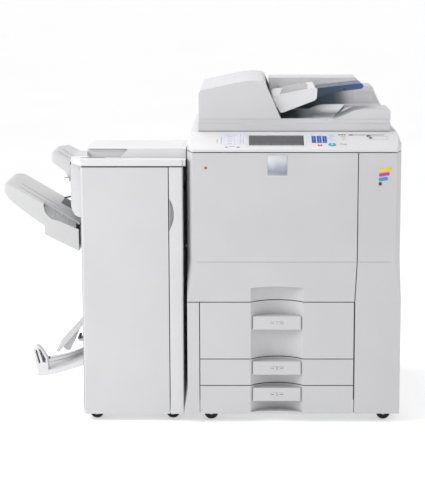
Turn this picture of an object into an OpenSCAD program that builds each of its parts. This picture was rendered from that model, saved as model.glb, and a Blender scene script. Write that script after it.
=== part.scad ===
// Floor-standing digital photocopier: copier body with three paper drawers, a document feeder on the
// platen and a booklet finisher docked on the left side.
// Every module draws in a working frame: X from the middle of the copier body, Y back from the front
// face, Z up from the floor. place() moves it to the row frame, whose origin is the middle of the footprint.

/* [Copier body] */
// Width of the copier body
body_w = 750; // [744:1:756]
// Depth of the copier body
body_d = 850; // [848:1:870]
// Height of the platen deck above the floor
deck_z = 1022; // [1020:1:1026]
// Thickness of the moulded outer panels
panel_t = 4; // [3:0.5:4]

/* [Drawers] */
// How far the hand scoop is sunk into the drawer fronts
scoop_depth = 44; // [36:1:44]
// Width of the hand scoop
scoop_w = 185; // [175:1:185]
// Gap between neighbouring front panels
seam = 3; // [2:0.5:4]

/* [Finisher] */
// Width of the finisher body without its trays
finisher_w = 356; // [350:1:356]
// Depth of the finisher body
finisher_d = 613; // [605:1:620]
// Gap between the finisher and the copier
dock_gap = 14; // [12:1:16]

/* [Casters] */
// Radius of a caster wheel
wheel_r = 25; // [23:1:26]
// Distance of the wheel axle behind the swivel axis
caster_trail = 10; // [8:1:12]

/* [Hidden] */
$fn = 48;

// Colours
c_shell = [0.86, 0.86, 0.87];
c_console = [0.94, 0.94, 0.95];
c_steel = [0.62, 0.64, 0.66];
c_dark = [0.10, 0.10, 0.11];
c_inner = [0.78, 0.79, 0.80];
c_blue = [0.16, 0.22, 0.36];

// Body outline
hw = body_w / 2;
corner_x = 20;                  // the front corners are cut back this far across ...
corner_y = 72;                  // ... and this far in depth
side_y = corner_y + 5;          // front edge of the side covers
rear_y = body_d - 10;           // front face of the rear cover
skirt_z = 33;                   // bottom edge of the covers
door_t = 20;                    // thickness of doors and drawer fronts
door_bottom = 438.5;
crease_z = 580;                 // above this height the front corners are cut back in full
door_top = deck_z - 59;
console_z = deck_z - 56;        // underside of the console
lip_z = console_z + 8;          // top of the console's front lip
console_d = 150;                // depth of the sloped console
console_slope = atan((deck_z - lip_z) / console_d);
deck_inset = 11;                // the top of the deck is this much narrower on each side
hinge_x = hw - 22;              // vertical hinge axes of the two front doors
hinge_y = 16;
pin_r = 4;
pin_gap = 0.05;                 // running clearance of every hinge pin and axle

// Frame levels
base_z = [70, 75];
shelf_z = [441, 445];
ring_z = [console_z - 15, console_z];
lug_z = [54, 62];               // hinge lugs behind the lower door edges
shelf_lug_z = [424, 432];

// Drawers
column_x = -331.7;              // right edge of the fixed column left of the drawers
drawer_x = 211.8;               // right edge of the drawers
drawer_tops = [435.5, 230.5, 134.5];
drawer_bottoms = [233.5, 137.5, skirt_z];
pan_bottoms = [246, 150, 84];
pan_tops = [420, 222, 128];
handle_zs = [362, 199, 103];
pan_x = [-322, 201];
pan_y = [49, 620];
pan_t = 2;
scoop_x = -59.5;
scoop_r = (scoop_w * scoop_w / 4 + scoop_depth * scoop_depth) / (2 * scoop_depth);
scoop_y = scoop_depth - scoop_r;
scoop_wall = 3;
scoop_top = 493;
handle_h = 48;
handle_w = 168;
boss_x = [-34, 34];             // the handle's two fixing bosses
boss_r = 4;

// Feeder
feeder_x = [-338, 342];
feeder_y = [console_d + 1, 742];
feeder_z = deck_z + 2;
band_z = deck_z + 45;
cheek = 14;                     // thickness of the feeder's front and rear walls
feeder_hinge = [feeder_y[1] + 9, deck_z + 10];
knuckle_r = 8;
small_pin_r = 3;                  // small pivots: bypass tray, guide rollers, sensor arm
cover_hinge = [-326, band_z + 92];
table_hinge = [-66, band_z + 62];
fence_y = [215, 520];
fence_travel = 105;
tongue_x = 6;

// Finisher
fin_x = [-hw - dock_gap - finisher_w, -hw - dock_gap];
fin_y = [15, 15 + finisher_d];
fin_skirt = 28;
fin_door_top = 911;
fin_lid_z = [914, 936];
fin_door_x = fin_x[0] + 307;    // right edge of the finisher door
fin_hinge = [fin_x[0] + 12, fin_y[0] + 16];
housing_x = fin_x[0] - 45;      // left face of the exit housing
housing_y = [130, 500];
tray_y = [150, 490];
booklet_y = [170, 400];
dock_y = [220, 500];
dock_z = 600;
dock_r = 5;
slot_z = [806, 822];            // paper slot between copier and finisher
slot_y = [180, 560];

// Casters
caster_front_y = 60;
caster_rear_y = 780;
main_caster_x = [-303, 312];    // swivel axes
fin_caster_x = [-703, -430];    // wheel centres
fin_caster_y = [74, 560];
wheel_w = 20;
stem_r = 6;
fork_t = 3;

left_reach = 1032;              // tip of the shift tray, from the middle of the copier body
shift_x = (left_reach - hw) / 2;

module place() translate([shift_x, -body_d / 2, 0]) children();

// ---- Helpers ----
// A smooth curve through points, with n short steps from each point to the next
function spline(p, n = 4) = concat([for (i = [0 : len(p) - 2], k = [0 : n - 1])
    let (t = k / n, a = p[max(i - 1, 0)], b = p[i], c = p[i + 1], d = p[min(i + 2, len(p) - 1)])
    (2 * b + (c - a) * t + (2 * a - 5 * b + 4 * c - d) * t * t + (3 * b - a - 3 * c + d) * t * t * t) / 2],
    [p[len(p) - 1]]);
// The same points moved up by z
function raised(p, z) = [for (q = p) [q[0], q[1] + z]];
module block(x, y, z) translate([x[0], y[0], z[0]]) cube([x[1] - x[0], y[1] - y[0], z[1] - z[0]]);
// An outline in X and Z, drawn out from y[0] to y[1]
module prism_y(points, y) translate([0, y[1], 0]) rotate([90, 0,
    0]) linear_extrude(y[1] - y[0]) polygon(points);
// An outline in Y and Z, drawn out from x[0] to x[1]
module prism_x(points, x) translate([x[0], 0, 0]) rotate([90, 0,
    90]) linear_extrude(x[1] - x[0]) polygon(points);
module prism_z(points, z) translate([0, 0, z[0]]) linear_extrude(z[1] - z[0]) polygon(points);
module rod_x(y, z, r, x) translate([x[0], y, z]) rotate([0, 90, 0]) cylinder(r = r, h = x[1] - x[0]);
module rod_y(x, z, r, y) translate([x, y[0], z]) rotate([-90, 0, 0]) cylinder(r = r, h = y[1] - y[0]);
module rod_z(x, y, r, z) translate([x, y, z[0]]) cylinder(r = r, h = z[1] - z[0]);
// Moves its children onto the sloped console: X across, Y up the slope, Z out of it
module on_console() translate([0, 0, lip_z]) rotate([console_slope, 0, 0]) children();

// ---- Copier frame and covers ----
module main_frame() color(c_steel) difference() {
    union() {
        block([-368, 368], [50, 830], base_z);
        for (x = [-368, 338], y = [80, 800]) block([x, x + 30], [y, y + 30], [base_z[1], ring_z[0]]);
        block([-368, 368], [80, 830], shelf_z);
        block([-342, -335], [100, 810], [base_z[1], shelf_z[0]]);
        block([215, 218], [80, 740], [base_z[1], shelf_z[0]]);
        difference() {
            block([-368, 368], [80, 830], ring_z);
            block([-338, 338], [110, 800], [ring_z[0] - 1, ring_z[1] + 1]);
        }
        block([-345, 345], [745, 749], [shelf_z[1] - 1, ring_z[0] + 2]);
        for (z = [for (b = pan_bottoms) b + 14]) {
            block([-335, -327], [110, 700], [z, z + 4]);
            block([206, 215], [110, 700], [z, z + 4]);
        }
        block([-366, -339], [7, 82], shelf_lug_z);
        block([hinge_x - 10, hinge_x + 7], [8, 26], lug_z);
        block([hinge_x - 10, hinge_x + 3], [20, 82], lug_z);
        block([hinge_x - 10, hinge_x + 3], [62, 82], [lug_z[0], base_z[1]]);
        block([-368, -365], [110, 800], [dock_z - 30, dock_z + 30]);
        for (y = dock_y) rod_x(y, dock_z, dock_r, [-hw - dock_gap - 12, -366]);
    }
    rod_z(-hinge_x, hinge_y, pin_r + pin_gap, [shelf_lug_z[0] - 1, shelf_lug_z[1] + 1]);
    rod_z(hinge_x, hinge_y, pin_r + pin_gap, [lug_z[0] - 1, lug_z[1] + 1]);
    for (x = main_caster_x, y = [caster_front_y, caster_rear_y])
        rod_z(x, y, stem_r + pin_gap, [base_z[0] - 1, base_z[1] + 1]);
}

module left_cover() color(c_shell) difference() {
    union() {
        block([-hw, -hw + panel_t], [side_y, rear_y - 1], [skirt_z, console_z - 3]);
        prism_z([[-hw, 0], [column_x - 1.5, 0], [column_x - 1.5, 30], [column_x - 4.5, 30],
                 [column_x - 4.5, panel_t], [-hw + panel_t, panel_t], [-hw + panel_t, side_y + 1],
                 [-hw, side_y + 1]], [skirt_z, drawer_tops[0]]);
    }
    block([-hw - 1, -hw + panel_t + 1], slot_y, slot_z);
    for (y = dock_y) rod_x(y, dock_z, dock_r + 2, [-hw - 1, -hw + panel_t + 1]);
    for (y = [600 : 12 : 744]) block([-hw - 1, -hw + panel_t + 1], [y, y + 5], [650, 760]);
}

bypass_z = [560, 850];
bypass_y = [190, 600];
bypass_hinge = [hw - 7, bypass_z[0] + 8];

module right_cover() color(c_shell) difference() {
    union() {
        block([hw - panel_t, hw], [side_y, rear_y - 1], [skirt_z, console_z - 3]);
        block([hw - 28, hw - panel_t + 1], [bypass_y[0] - 5, bypass_y[1] + 5],
              [bypass_z[0] - 4, bypass_z[1] + 5]);
    }
    block([hw - 24, hw + 1], [bypass_y[0] - 1, bypass_y[1] + 1], [bypass_z[0] - 0.5, bypass_z[1] + 1]);
    rod_y(bypass_hinge[0], bypass_hinge[1], small_pin_r + pin_gap, [bypass_y[0] - 4, bypass_y[1] + 4]);
    for (y = [660 : 12 : 804]) block([hw - panel_t - 1, hw + 1], [y, y + 5], [120, 260]);
}

module bypass_tray() color(c_shell) difference() {
    union() {
        block([hw - 8, hw], bypass_y, [bypass_z[0] + 16, bypass_z[1]]);
        block([hw - 14, hw], [bypass_y[0] + 4, bypass_y[0] + 16], [bypass_z[0] + 8, bypass_z[0] + 30]);
        block([hw - 14, hw], [bypass_y[1] - 16, bypass_y[1] - 4], [bypass_z[0] + 8, bypass_z[0] + 30]);
        rod_y(bypass_hinge[0], bypass_hinge[1], 6.5, [bypass_y[0] + 4, bypass_y[1] - 4]);
        rod_y(bypass_hinge[0], bypass_hinge[1], small_pin_r, [bypass_y[0] - 3, bypass_y[1] + 3]);
    }
    block([hw - 4, hw + 1], [355, 435], [bypass_z[1] - 26, bypass_z[1] + 1]);
}

inlet_x = [60, 100];
inlet_z = [130, 160];

module rear_cover() color(c_shell) difference() {
    union() {
        block([-hw + 1, hw - 1], [rear_y, body_d - 6], [60, console_z - 3]);
        block([-330, 330], [body_d - 7, body_d], [110, 900]);
    }
    block([-326, 326], [rear_y - 1, body_d - 4], [114, 896]);
    for (x = [-300 : 16 : -140]) block([x, x + 7], [rear_y, body_d + 1], [700, 840]);
    for (x = [140 : 16 : 300]) block([x, x + 7], [rear_y, body_d + 1], [180, 320]);
    block(inlet_x, [rear_y, body_d + 1], inlet_z);
}

// Corner outline of the console and deck at one height
function console_plan(d, depth) = [[-hw + corner_x + d, d / 3], [hw - corner_x - d, d / 3],
    [hw - d, corner_y - 2], [hw - d, depth], [-hw + d, depth], [-hw + d, corner_y - 2]];

screen_w = 192;
screen_h = 88;
screen_at = [-62, 37];
key_travel = 1.2;
key_pitch = [19, 15];
keys_at = [61, 57];
key_size = [15, 10];
fkey_size = [34, 12];
fkey_pitch = 19;
fkeys_at = [-242, 46];
start_at = [131, 43];
start_r = 13;
stop_at = [88.5, 38];
stop_r = 8;
key_gap = 0.4;                  // clearance round every key

// The console's outer form: a sloped top above a thin front lip
module console_form() hull() {
    prism_z(console_plan(0, console_d), [console_z, lip_z]);
    prism_z([[-hw, corner_y], [hw, corner_y], [hw, console_d], [-hw, console_d]],
            [lip_z, lip_z + 14]);
    for (s = [-1, 1]) {
        translate([s * (hw - deck_inset) - 0.5, corner_y + 4, lip_z]) cube([1, 1,
            (corner_y + 4) * tan(console_slope)]);
        translate([s * (hw - deck_inset) - 0.5, console_d - 1, lip_z]) cube([1, 1, deck_z - lip_z - 0.4]);
        translate([s * (hw - corner_x - 8) - 0.5, 3, lip_z]) cube([1, 1, 1]);
    }
}

module control_panel() color(c_console) difference() {
    console_form();
    on_console() {
        translate([screen_at[0] - screen_w / 2, screen_at[1], -6]) cube([screen_w, screen_h, 20]);
        key_layout(key_gap, 8);
        translate([fkeys_at[0], fkeys_at[1], -6]) for (i = [0 : 3])
            translate([-key_gap, i * fkey_pitch - key_gap, 0])
                cube([fkey_size[0] + 2 * key_gap, fkey_size[1] + 2 * key_gap, 20]);
        translate([start_at[0], start_at[1], -6]) cylinder(r = start_r + key_gap, h = 20);
        translate([stop_at[0], stop_at[1], -6]) cylinder(r = stop_r + key_gap, h = 20);
    }
    for (s = [-1, 1]) rod_z(s * hinge_x, hinge_y, pin_r + pin_gap, [console_z - 1, lip_z + 1]);
    block([-330, 330], [28, console_d + 1], [console_z - 1, lip_z - 2]);
}

// Twelve number keys, or the pockets that they sit in
module key_layout(gap, depth)
    for (c = [0 : 2], r = [0 : 3])
        translate([keys_at[0] + c * key_pitch[0] - gap, keys_at[1] + r * key_pitch[1] + 2 - gap,
            -depth + 2])
            cube([key_size[0] + 2 * gap, key_size[1] + 2 * gap, depth + (gap > 0 ? 20 : 0)]);

module number_keys() color([0.25, 0.38, 0.72]) on_console() {
    translate([0, 0, key_travel - 0.2]) key_layout(0, 6);
}

module function_keys() color([0.80, 0.86, 0.95]) on_console()
    translate([fkeys_at[0], fkeys_at[1], -4]) for (i = [0 : 3])
        translate([0, i * fkey_pitch, 0]) cube([fkey_size[0], fkey_size[1], 5]);

module start_key() color([0.25, 0.68, 0.70]) on_console()
    translate([start_at[0], start_at[1], -4]) cylinder(r = start_r, h = 6);

module stop_key() color([0.80, 0.28, 0.30]) on_console()
    translate([stop_at[0], stop_at[1], -4]) cylinder(r = stop_r, h = 5.5);

module touch_screen() color([0.36, 0.39, 0.42]) on_console()
    translate([screen_at[0] - screen_w / 2 + 0.5, screen_at[1] + 0.5, -6]) cube([screen_w - 1,
        screen_h - 1, 4.5]);

glass_x = [-225, 225];
glass_y = [225, 540];
slit_x = [-272, -242];

module upper_deck() color(c_console) difference() {
    hull() {
        block([-hw, hw], [console_d + 0.5, rear_y + 1], [console_z, lip_z + 14]);
        block([-hw + deck_inset, hw - deck_inset], [console_d + 0.5, rear_y - 9], [console_z, deck_z]);
    }
    block([-hw + panel_t, hw - panel_t], [console_d + 4, rear_y - 4], [console_z - 1, lip_z + 12]);
    block([-hw + deck_inset + 6, hw - deck_inset - 6], [console_d + 4, rear_y - 16], [lip_z, deck_z - 9]);
    for (x = [glass_x, slit_x]) {
        block(x, glass_y, [deck_z - 10, deck_z + 1]);
        block([x[0] - 4, x[1] + 4], [glass_y[0] - 4, glass_y[1] + 4], [deck_z - 10, deck_z - 4]);
    }
}

module platen_glass() color([0.75, 0.85, 0.85, 0.4]) for (x = [glass_x, slit_x]) {
    block([x[0] + 0.2, x[1] - 0.2], [glass_y[0] + 0.2, glass_y[1] - 0.2], [deck_z - 8, deck_z - 0.5]);
    block([x[0] - 3.6, x[1] + 3.6], [glass_y[0] - 3.6, glass_y[1] + 3.6], [deck_z - 8, deck_z - 4.2]);
}

// Lamp and mirror carriage, parked under the feeder's reading slit
module scan_carriage() color(c_dark) difference() {
    block([-276, -232], [200, 565], [deck_z - 40, deck_z - 16]);
    block([-262, -248], [215, 550], [deck_z - 34, deck_z - 15]);
}

bottle_x = [-250, -158, -66, 40];
bottle_r = [34, 34, 34, 46];
bottle_z = 855;

module inner_cover() color(c_inner) difference() {
    block([-336, 336], [86, 92], [shelf_z[1] + 1, ring_z[0] - 1]);
    for (i = [0 : 3]) rod_y(bottle_x[i], bottle_z, bottle_r[i] + 3, [80, 100]);
    block([-296, 160], [80, 100], [580, 792]);
    block([228, 330], [80, 100], [630, 800]);
}

module toner_bottles() color([0.5, 0.5, 0.5]) for (i = [0 : 3]) {
    rod_y(bottle_x[i], bottle_z, bottle_r[i], [96, 470]);
    rod_y(bottle_x[i], bottle_z, bottle_r[i] - 10, [72, 97]);
}

drum_x = [-240, -140, -40, 60];

module drum_cartridges() color(c_dark) for (x = drum_x) {
    block([x - 44, x + 44], [96, 560], [588, 668]);
    rod_y(x - 10, 674, 15, [110, 550]);
    block([x - 20, x + 20], [76, 97], [600, 640]);
}

module transfer_belt() color([0.16, 0.15, 0.14]) {
    difference() {
        hull() for (x = [-250, 100]) rod_y(x, 732, 40, [110, 560]);
        hull() for (x = [-250, 100]) rod_y(x, 732, 38.5, [109, 561]);
    }
    for (x = [-250, 100]) rod_y(x, 732, 38.5, [100, 570]);
}

module laser_unit() color(c_steel) block([-300, 180], [130, 640], [466, 568]);

module fuser_unit() color(c_dark) difference() {
    block([232, 326], [96, 600], [636, 794]);
    block([262, 296], [110, 586], [630, 800]);
    rod_y(268, 716, 26, [106, 590]);
    rod_y(290, 716, 26, [106, 590]);
}

module controller_box() color(c_steel) {
    block([-300, 60], [752, 834], [480, 880]);
    block([100, 330], [752, 834], [480, 700]);
    block([50, 330], [752, 800], [100, 300]);
    difference() {
        block([inlet_x[0] + 1, inlet_x[1] - 1], [799, body_d - 2], [inlet_z[0] + 1, inlet_z[1] - 1]);
        block([inlet_x[0] + 6, inlet_x[1] - 6], [body_d - 18, body_d], [inlet_z[0] + 5, inlet_z[1] - 5]);
    }
}

// ---- Doors and drawers ----
// Outline of a front corner in plan, with the corner cut back by cut; side is -1 for the left
function corner_plan(side, cut) = [[side * (hw - cut), 0], [side * (hw - 36), 0],
    [side * (hw - 36), door_t],
    [side * (hw - 24), corner_y], [side * hw, corner_y]];

// The wrapped corner of a front door between two heights
module door_corner(side, z) {
    prism_z(corner_plan(side, corner_x), [crease_z, z[1]]);
    hull() {
        prism_z(corner_plan(side, corner_x), [crease_z - 1, crease_z]);
        prism_z(corner_plan(side, 0), [door_bottom, door_bottom + 1]);
    }
    if (z[0] < door_bottom) prism_z(corner_plan(side, 0), [z[0], door_bottom]);
}

// The hand scoop's hollow, with its arched upper end
module scoop_hollow(grow = 0) intersection() {
    rod_z(scoop_x, scoop_y, scoop_r + grow, [skirt_z - 5, scoop_top + 20]);
    block([scoop_x - scoop_w / 2 - grow, scoop_x + scoop_w / 2 + grow], [-1, 60],
        [skirt_z - 5, scoop_top + 20]);
}

module door_seam_cut(x0) prism_y([[x0 + 7, crease_z], [x0 + 7, door_top + 1], [x0 + 30, door_top + 1],
    [x0 + 30, door_bottom - 1], [x0, door_bottom - 1]], [-1, door_t + 60]);

module front_door() color(c_shell) difference() {
    union() {
        block([-hw + 36, drawer_x + 7], [0, door_t], [door_bottom, door_top]);
        door_corner(-1, [door_bottom, door_top]);
        intersection() {
            scoop_hollow(scoop_wall);
            block([-200, 100], [2, 60], [door_bottom, scoop_top + 4]);
        }
        rod_z(-hinge_x, hinge_y, pin_r, [shelf_lug_z[0], lip_z]);
    }
    intersection() {
        scoop_hollow();
        rod_y(scoop_x, scoop_top - 716, 716, [-2, 70]);
    }
    for (x = [-320, -60]) block([x, x + 250], [panel_t, door_t + 1], [scoop_top + 16, door_top - 12]);
    door_seam_cut(drawer_x);
}

module side_door() color(c_shell) {
    side_door_shell();
    rod_z(hinge_x, hinge_y, pin_r, [lug_z[0] - 5, lug_z[1] + 5]);
}

arch_z = 84;                    // top of the wheel arch in the side door's return
module side_door_shell() difference() {
    union() {
        difference() {
            block([drawer_x + seam, hw - 36], [0, door_t], [skirt_z, door_top]);
            mirror([1, 0, 0]) translate([-2 * drawer_x - seam - 7, 0, 0])
                prism_y([[drawer_x, crease_z], [drawer_x, door_top + 1], [drawer_x + 30, door_top + 1],
                         [drawer_x + 30, skirt_z - 1], [drawer_x + 7, skirt_z - 1],
                             [drawer_x + 7, door_bottom]],
                        [-1, door_t + 1]);
        }
        door_corner(1, [skirt_z, door_top]);
        rod_z(hinge_x, hinge_y, pin_r, [door_top - 1, lip_z]);
    }
    block([hinge_x - 30, hw + 1], [5, corner_y + 1], [lug_z[0] - 4, lug_z[1] + 4]);
    block([hinge_x - 30, hw + 1], [26, corner_y + 1], [skirt_z - 1, arch_z]);
    block([drawer_x + 20, hinge_x - 24], [panel_t, door_t + 1], [lug_z[1] + 20, crease_z - 40]);
    block([drawer_x + 20, hinge_x - 24], [panel_t, door_t + 1], [crease_z - 20, door_top - 12]);
}

// A drawer front with its share of the hand scoop, and the pan behind it; i counts from the top
module drawer(i) {
    z = [drawer_bottoms[i], drawer_tops[i]];
    color(c_shell) difference() {
        union() {
            block([column_x + 1.5, drawer_x - 1.5], [0, door_t], z);
            intersection() {
                scoop_hollow(scoop_wall);
                block([-200, 100], [2, 60], z);
            }
        }
        difference() {
            scoop_hollow();
            if (i == 2) rod_y(scoop_x, skirt_z - 1190, 1200, [-2, 70]);
        }
        for (x = [[-300, -170], [52, 192]]) block(x, [panel_t, door_t + 1], [z[0] + 12, z[1] - 12]);
        for (x = boss_x) rod_y(scoop_x + x, handle_zs[i], boss_r + 0.2, [20, 60]);
    }
    color(c_inner) {
        difference() {
            block(pan_x, pan_y, [pan_bottoms[i], pan_tops[i]]);
            block([pan_x[0] + pan_t, pan_x[1] - pan_t], [pan_y[0] + 4, pan_y[1] - pan_t],
                  [pan_bottoms[i] + pan_t, pan_tops[i] + 1]);
        }
        for (x = [[-333, pan_x[0] + 1], [pan_x[1] - 1, 213]])
            block(x, [112, pan_y[1]], [pan_bottoms[i] + 18.6, pan_bottoms[i] + 21.6]);
        for (x = [pan_x[0] + 30, pan_x[1] - 60])
            block([x, x + 30], [panel_t - 1, pan_y[0] + 1], [pan_bottoms[i] + 4, pan_bottoms[i] + 24]);
    }
    // paper guides inside the pan
    color([0.2, 0.5, 0.3]) {
        block([-60, 0], [pan_y[1] - 60, pan_y[1] - 54], [pan_bottoms[i] + pan_t - 0.5, pan_tops[i] - 6]);
        block([pan_x[0] + 60, pan_x[0] + 66], [250, 420], [pan_bottoms[i] + pan_t - 0.5, pan_tops[i] - 6]);
    }
}
module tray_1() drawer(0);
module tray_2() drawer(1);
module tray_3() drawer(2);

// A grip shelf that closes the scoop at finger height, hollow from below
module drawer_handle(z) color(c_console) difference() {
    union() {
        intersection() {
            rod_z(scoop_x, scoop_y, scoop_r - 0.2, [z - handle_h / 2, z + handle_h / 2]);
            block([scoop_x - handle_w / 2, scoop_x + handle_w / 2], [0, 60],
                [z - handle_h / 2, z + handle_h / 2]);
        }
        for (x = boss_x) rod_y(scoop_x + x, z, boss_r, [scoop_depth - 8, scoop_depth + 2]);
    }
    intersection() {
        rod_z(scoop_x, scoop_y, scoop_r - 5, [z - handle_h / 2 - 1, z + handle_h / 2 - 6]);
        block([scoop_x - handle_w / 2 + 4, scoop_x + handle_w / 2 - 4], [5, 60],
              [z - handle_h / 2 - 1, z + handle_h / 2 - 6]);
    }
}
module tray_1_handle() drawer_handle(handle_zs[0]);
module tray_2_handle() drawer_handle(handle_zs[1]);
module tray_3_handle() drawer_handle(handle_zs[2]);

// ---- Document feeder ----
// Outlines of the feeder in X and Z, with Z measured from the top of its band
pod_top = raised(spline([[-336, 83], [-334, 93], [-326, 100], [-280, 110], [-226, 122], [-180, 131],
    [-150, 134],
                         [-120, 133], [-104, 128], [-98, 121]], 3), band_z);
pod_inside = raised([[-95, 108], [-100, 107], [-108, 119], [-122, 127], [-150, 128.5], [-180, 126],
    [-226, 117],
                     [-280, 105], [-322, 95.5], [-329, 90], [-331, 83]], band_z);
pod_profile = concat([[feeder_x[0] + 2, band_z - 1]], pod_top, [[-45, band_z], [-45, band_z - 1]]);
ledge = concat([[140, band_z - 1]],
    raised(spline([[140, 0], [163, 6], [191, 18], [214, 28], [245, 33.5], [277, 35], [330, 35.5],
        [338, 33], [341, 27]], 3),
           band_z), [[feeder_x[1], band_z - 1]]);
rear_ledge = concat([[0, band_z - 20]],
    raised(spline([[0, -14], [42, -8], [66, 0], [84, 8], [104, 14], [130, 17], [200, 18.5],
        [338, 19]], 3), band_z),
    [[338, band_z - 20]]);
floor_line = raised(spline([[-52, -14], [20, -12], [90, -8], [150, 0], [215, 9], [338, 13]], 3), band_z);
drive_profile = raised([[-60, -2], [-80, 70], [-84, 117], [244, 117], [256, 102], [264, 86],
    [300, 84.5], [307, 82],
                        [333, 25], [339, 14], [339, -2]], band_z);
drive_hollow = raised([[-92, 4], [-128, 100], [228, 110], [244, 96], [254, 78], [298, 76], [322, 22],
    [326, 4]], band_z);
rear_wall_y = [560, 726];

module feeder_base() color(c_shell) difference() {
    union() {
        // lower frame with a groove round it
        block(feeder_x, [feeder_y[0], 730], [feeder_z, band_z - 16]);
        block([feeder_x[0] + 2, feeder_x[1] - 2], [feeder_y[0] + 2, 728], [band_z - 17, band_z]);
        // front and rear cheeks of the feeding head
        for (y = [[feeder_y[0] + 1, feeder_y[0] + 1 + cheek], [712, 726]]) prism_y(pod_profile, y);
        // left wall under the opening cover
        block([feeder_x[0] + 2, feeder_x[0] + 6], [feeder_y[0] + 2, 726], [band_z - 1, band_z + 78]);
        // ledges on both sides of the exit tray, and its floor
        prism_y(ledge, [feeder_y[0] + 1, 300]);
        prism_y(concat(floor_line, [[feeder_x[1] - 4, band_z - 20],
            [-52, band_z - 20]]), [280, rear_wall_y[0] + 4]);
        prism_y(rear_ledge, [520, rear_wall_y[0] + 4]);
        // rear housing with the drive
        prism_y(drive_profile, rear_wall_y);
        // knuckles of the lid hinges
        for (x = hinge_pairs) {
            rod_x(feeder_hinge[0], feeder_hinge[1], knuckle_r, [x - 1, x + 41]);
            block([x - 1, x + 41], [728, feeder_hinge[0]], [feeder_hinge[1] - 5, feeder_hinge[1] + 5]);
        }
    }
    for (x = hinge_pairs) rod_x(feeder_hinge[0], feeder_hinge[1], pin_r + pin_gap, [x - 2, x + 42]);
    // hollow under the head
    block([feeder_x[0] + 8, -60], [feeder_y[0] + 16, 711], [feeder_z + 6, band_z + 1]);
    prism_y(drive_hollow, [rear_wall_y[0] + 4, 720]);
    // hollow under the exit tray
    block([-48, feeder_x[1] - 8], [feeder_y[0] + 8, 720], [feeder_z + 4, band_z - 24]);
    // bores for the cover, table and feed roller pivots
    rod_y(cover_hinge[0], cover_hinge[1], pin_r + pin_gap, [feeder_y[0] + 6, 722]);
    rod_y(table_hinge[0], table_hinge[1], pin_r + pin_gap, [feeder_y[0] + 6, rear_wall_y[0] + 20]);
    rod_y(-150, band_z + 60, 5 + pin_gap, [feeder_y[0] + 6, 722]);
}

module feeder_cover() color(c_shell) difference() {
    union() {
        prism_y(concat(pod_top, pod_inside), [feeder_y[0] + cheek + 2, 711]);
        rod_y(cover_hinge[0], cover_hinge[1], pin_r, [feeder_y[0] + 8, 720]);
        for (y = [feeder_y[0] + 20, 690])
            block([cover_hinge[0] - 3, cover_hinge[0] + 3], [y, y + 12],
                [cover_hinge[1], cover_hinge[1] + 8]);
    }
    rod_y(-212, band_z + 136, 12, [400, 470]);
}

module feed_roller() color(c_dark) {
    rod_y(-150, band_z + 60, 5, [feeder_y[0] + 8, 720]);
    for (y = [300, 400, 500]) rod_y(-150, band_z + 60, 17, [y, y + 40]);
}

// Table that holds the originals: a wedge at its root, with guides under its right end
table_top = [[-60, band_z + 68], [58, band_z + 104], [80, band_z + 107]];
table_y = [feeder_y[0] + 4 + cheek, rear_wall_y[0] - 6];
tongue_y = [feeder_y[0] + 80, feeder_y[0] + 150];
module document_table() color(c_console) difference() {
    union() {
        prism_y(concat([[-76, band_z + 66], [-70, band_z + 80], table_top[1], table_top[2]],
                       raised([[84, 104], [82, 78], [81, 70], [75, 63], [-38, 20], [-46, 20]], band_z)),
                [table_y[0], table_y[0] + 20]);
        prism_y([[-76, band_z + 68], [-70, band_z + 76], table_top[1] - [0, 4], table_top[2] - [0, 4],
                 table_top[2] - [0, 8], table_top[1] - [0, 8], [-66, band_z + 60]],
                [table_y[0] + 18, table_y[1]]);
        // guides on both sides of the extension's tongue, closed by a plate under it
        for (y = [tongue_y[0] - 4, tongue_y[1] + 0.5])
            prism_y(raised([[-14, 59.5], [79, 70], [79, 100], [60, 98], [-14, 76]], band_z), [y, y + 3.5]);
        prism_y(raised([[-14, 59.5], [79, 70], [79, 73.5], [-14, 63]], band_z),
            [tongue_y[0] - 4, tongue_y[1] + 4]);
        rod_y(table_hinge[0], table_hinge[1], 8, [table_y[0] + 16, table_y[1]]);
        rod_y(table_hinge[0], table_hinge[1], pin_r, [feeder_y[0] + 8, rear_wall_y[0] + 12]);
    }
    // slots that guide the side fences
    for (y = [[fence_y[0] - 1, fence_y[0] + 7 + fence_travel],
        [fence_y[1] - 3 - fence_travel, fence_y[1] + 5]])
        block([-tongue_x - 1, tongue_x + 1], y, [band_z + 75, band_z + 110]);
}

// Blue extension of the table, with a tongue that runs in the guides
module table_extension() color(c_blue) {
    prism_y(raised([[84.5, 74], [84.5, 106.5], [226, 123], [238, 122.5], [245, 118], [247, 112], [240, 105],
        [222, 102], [140, 93]], band_z), [table_y[0], table_y[0] + 165]);
    prism_y(raised([[-10, 64], [-10, 72.5], [86, 83.5], [86, 75]], band_z), tongue_y);
}

// A paper side guide that stands on the table and slides across it; side is -1 for the front one
function table_z(x) = band_z + 76 + (x + 70) * 24 / 128 + 0.3;
module side_fence(y, side) color(c_shell) {
    prism_y([[-50, table_z(-50)], [50, table_z(50)], [50, band_z + 117], [40, band_z + 121],
        [-40, band_z + 102]],
            [y, y + 4]);
    prism_y([[-30, table_z(-30)], [30, table_z(30)], [30, table_z(30) + 3], [-30, table_z(-30) + 3]],
            side > 0 ? [y - 30, y + 1] : [y + 3, y + 34]);
    block([-tongue_x, tongue_x], [y, y + 4], [band_z + 76, table_z(0) + 3]);
}
module front_fence() side_fence(fence_y[0], -1);
module rear_fence() side_fence(fence_y[1], 1);

module platen_pad() color([0.96, 0.96, 0.96]) block([-222, 222], [glass_y[0] + 3, glass_y[1] - 3],
    [feeder_z - 1.8, feeder_z]);

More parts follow.
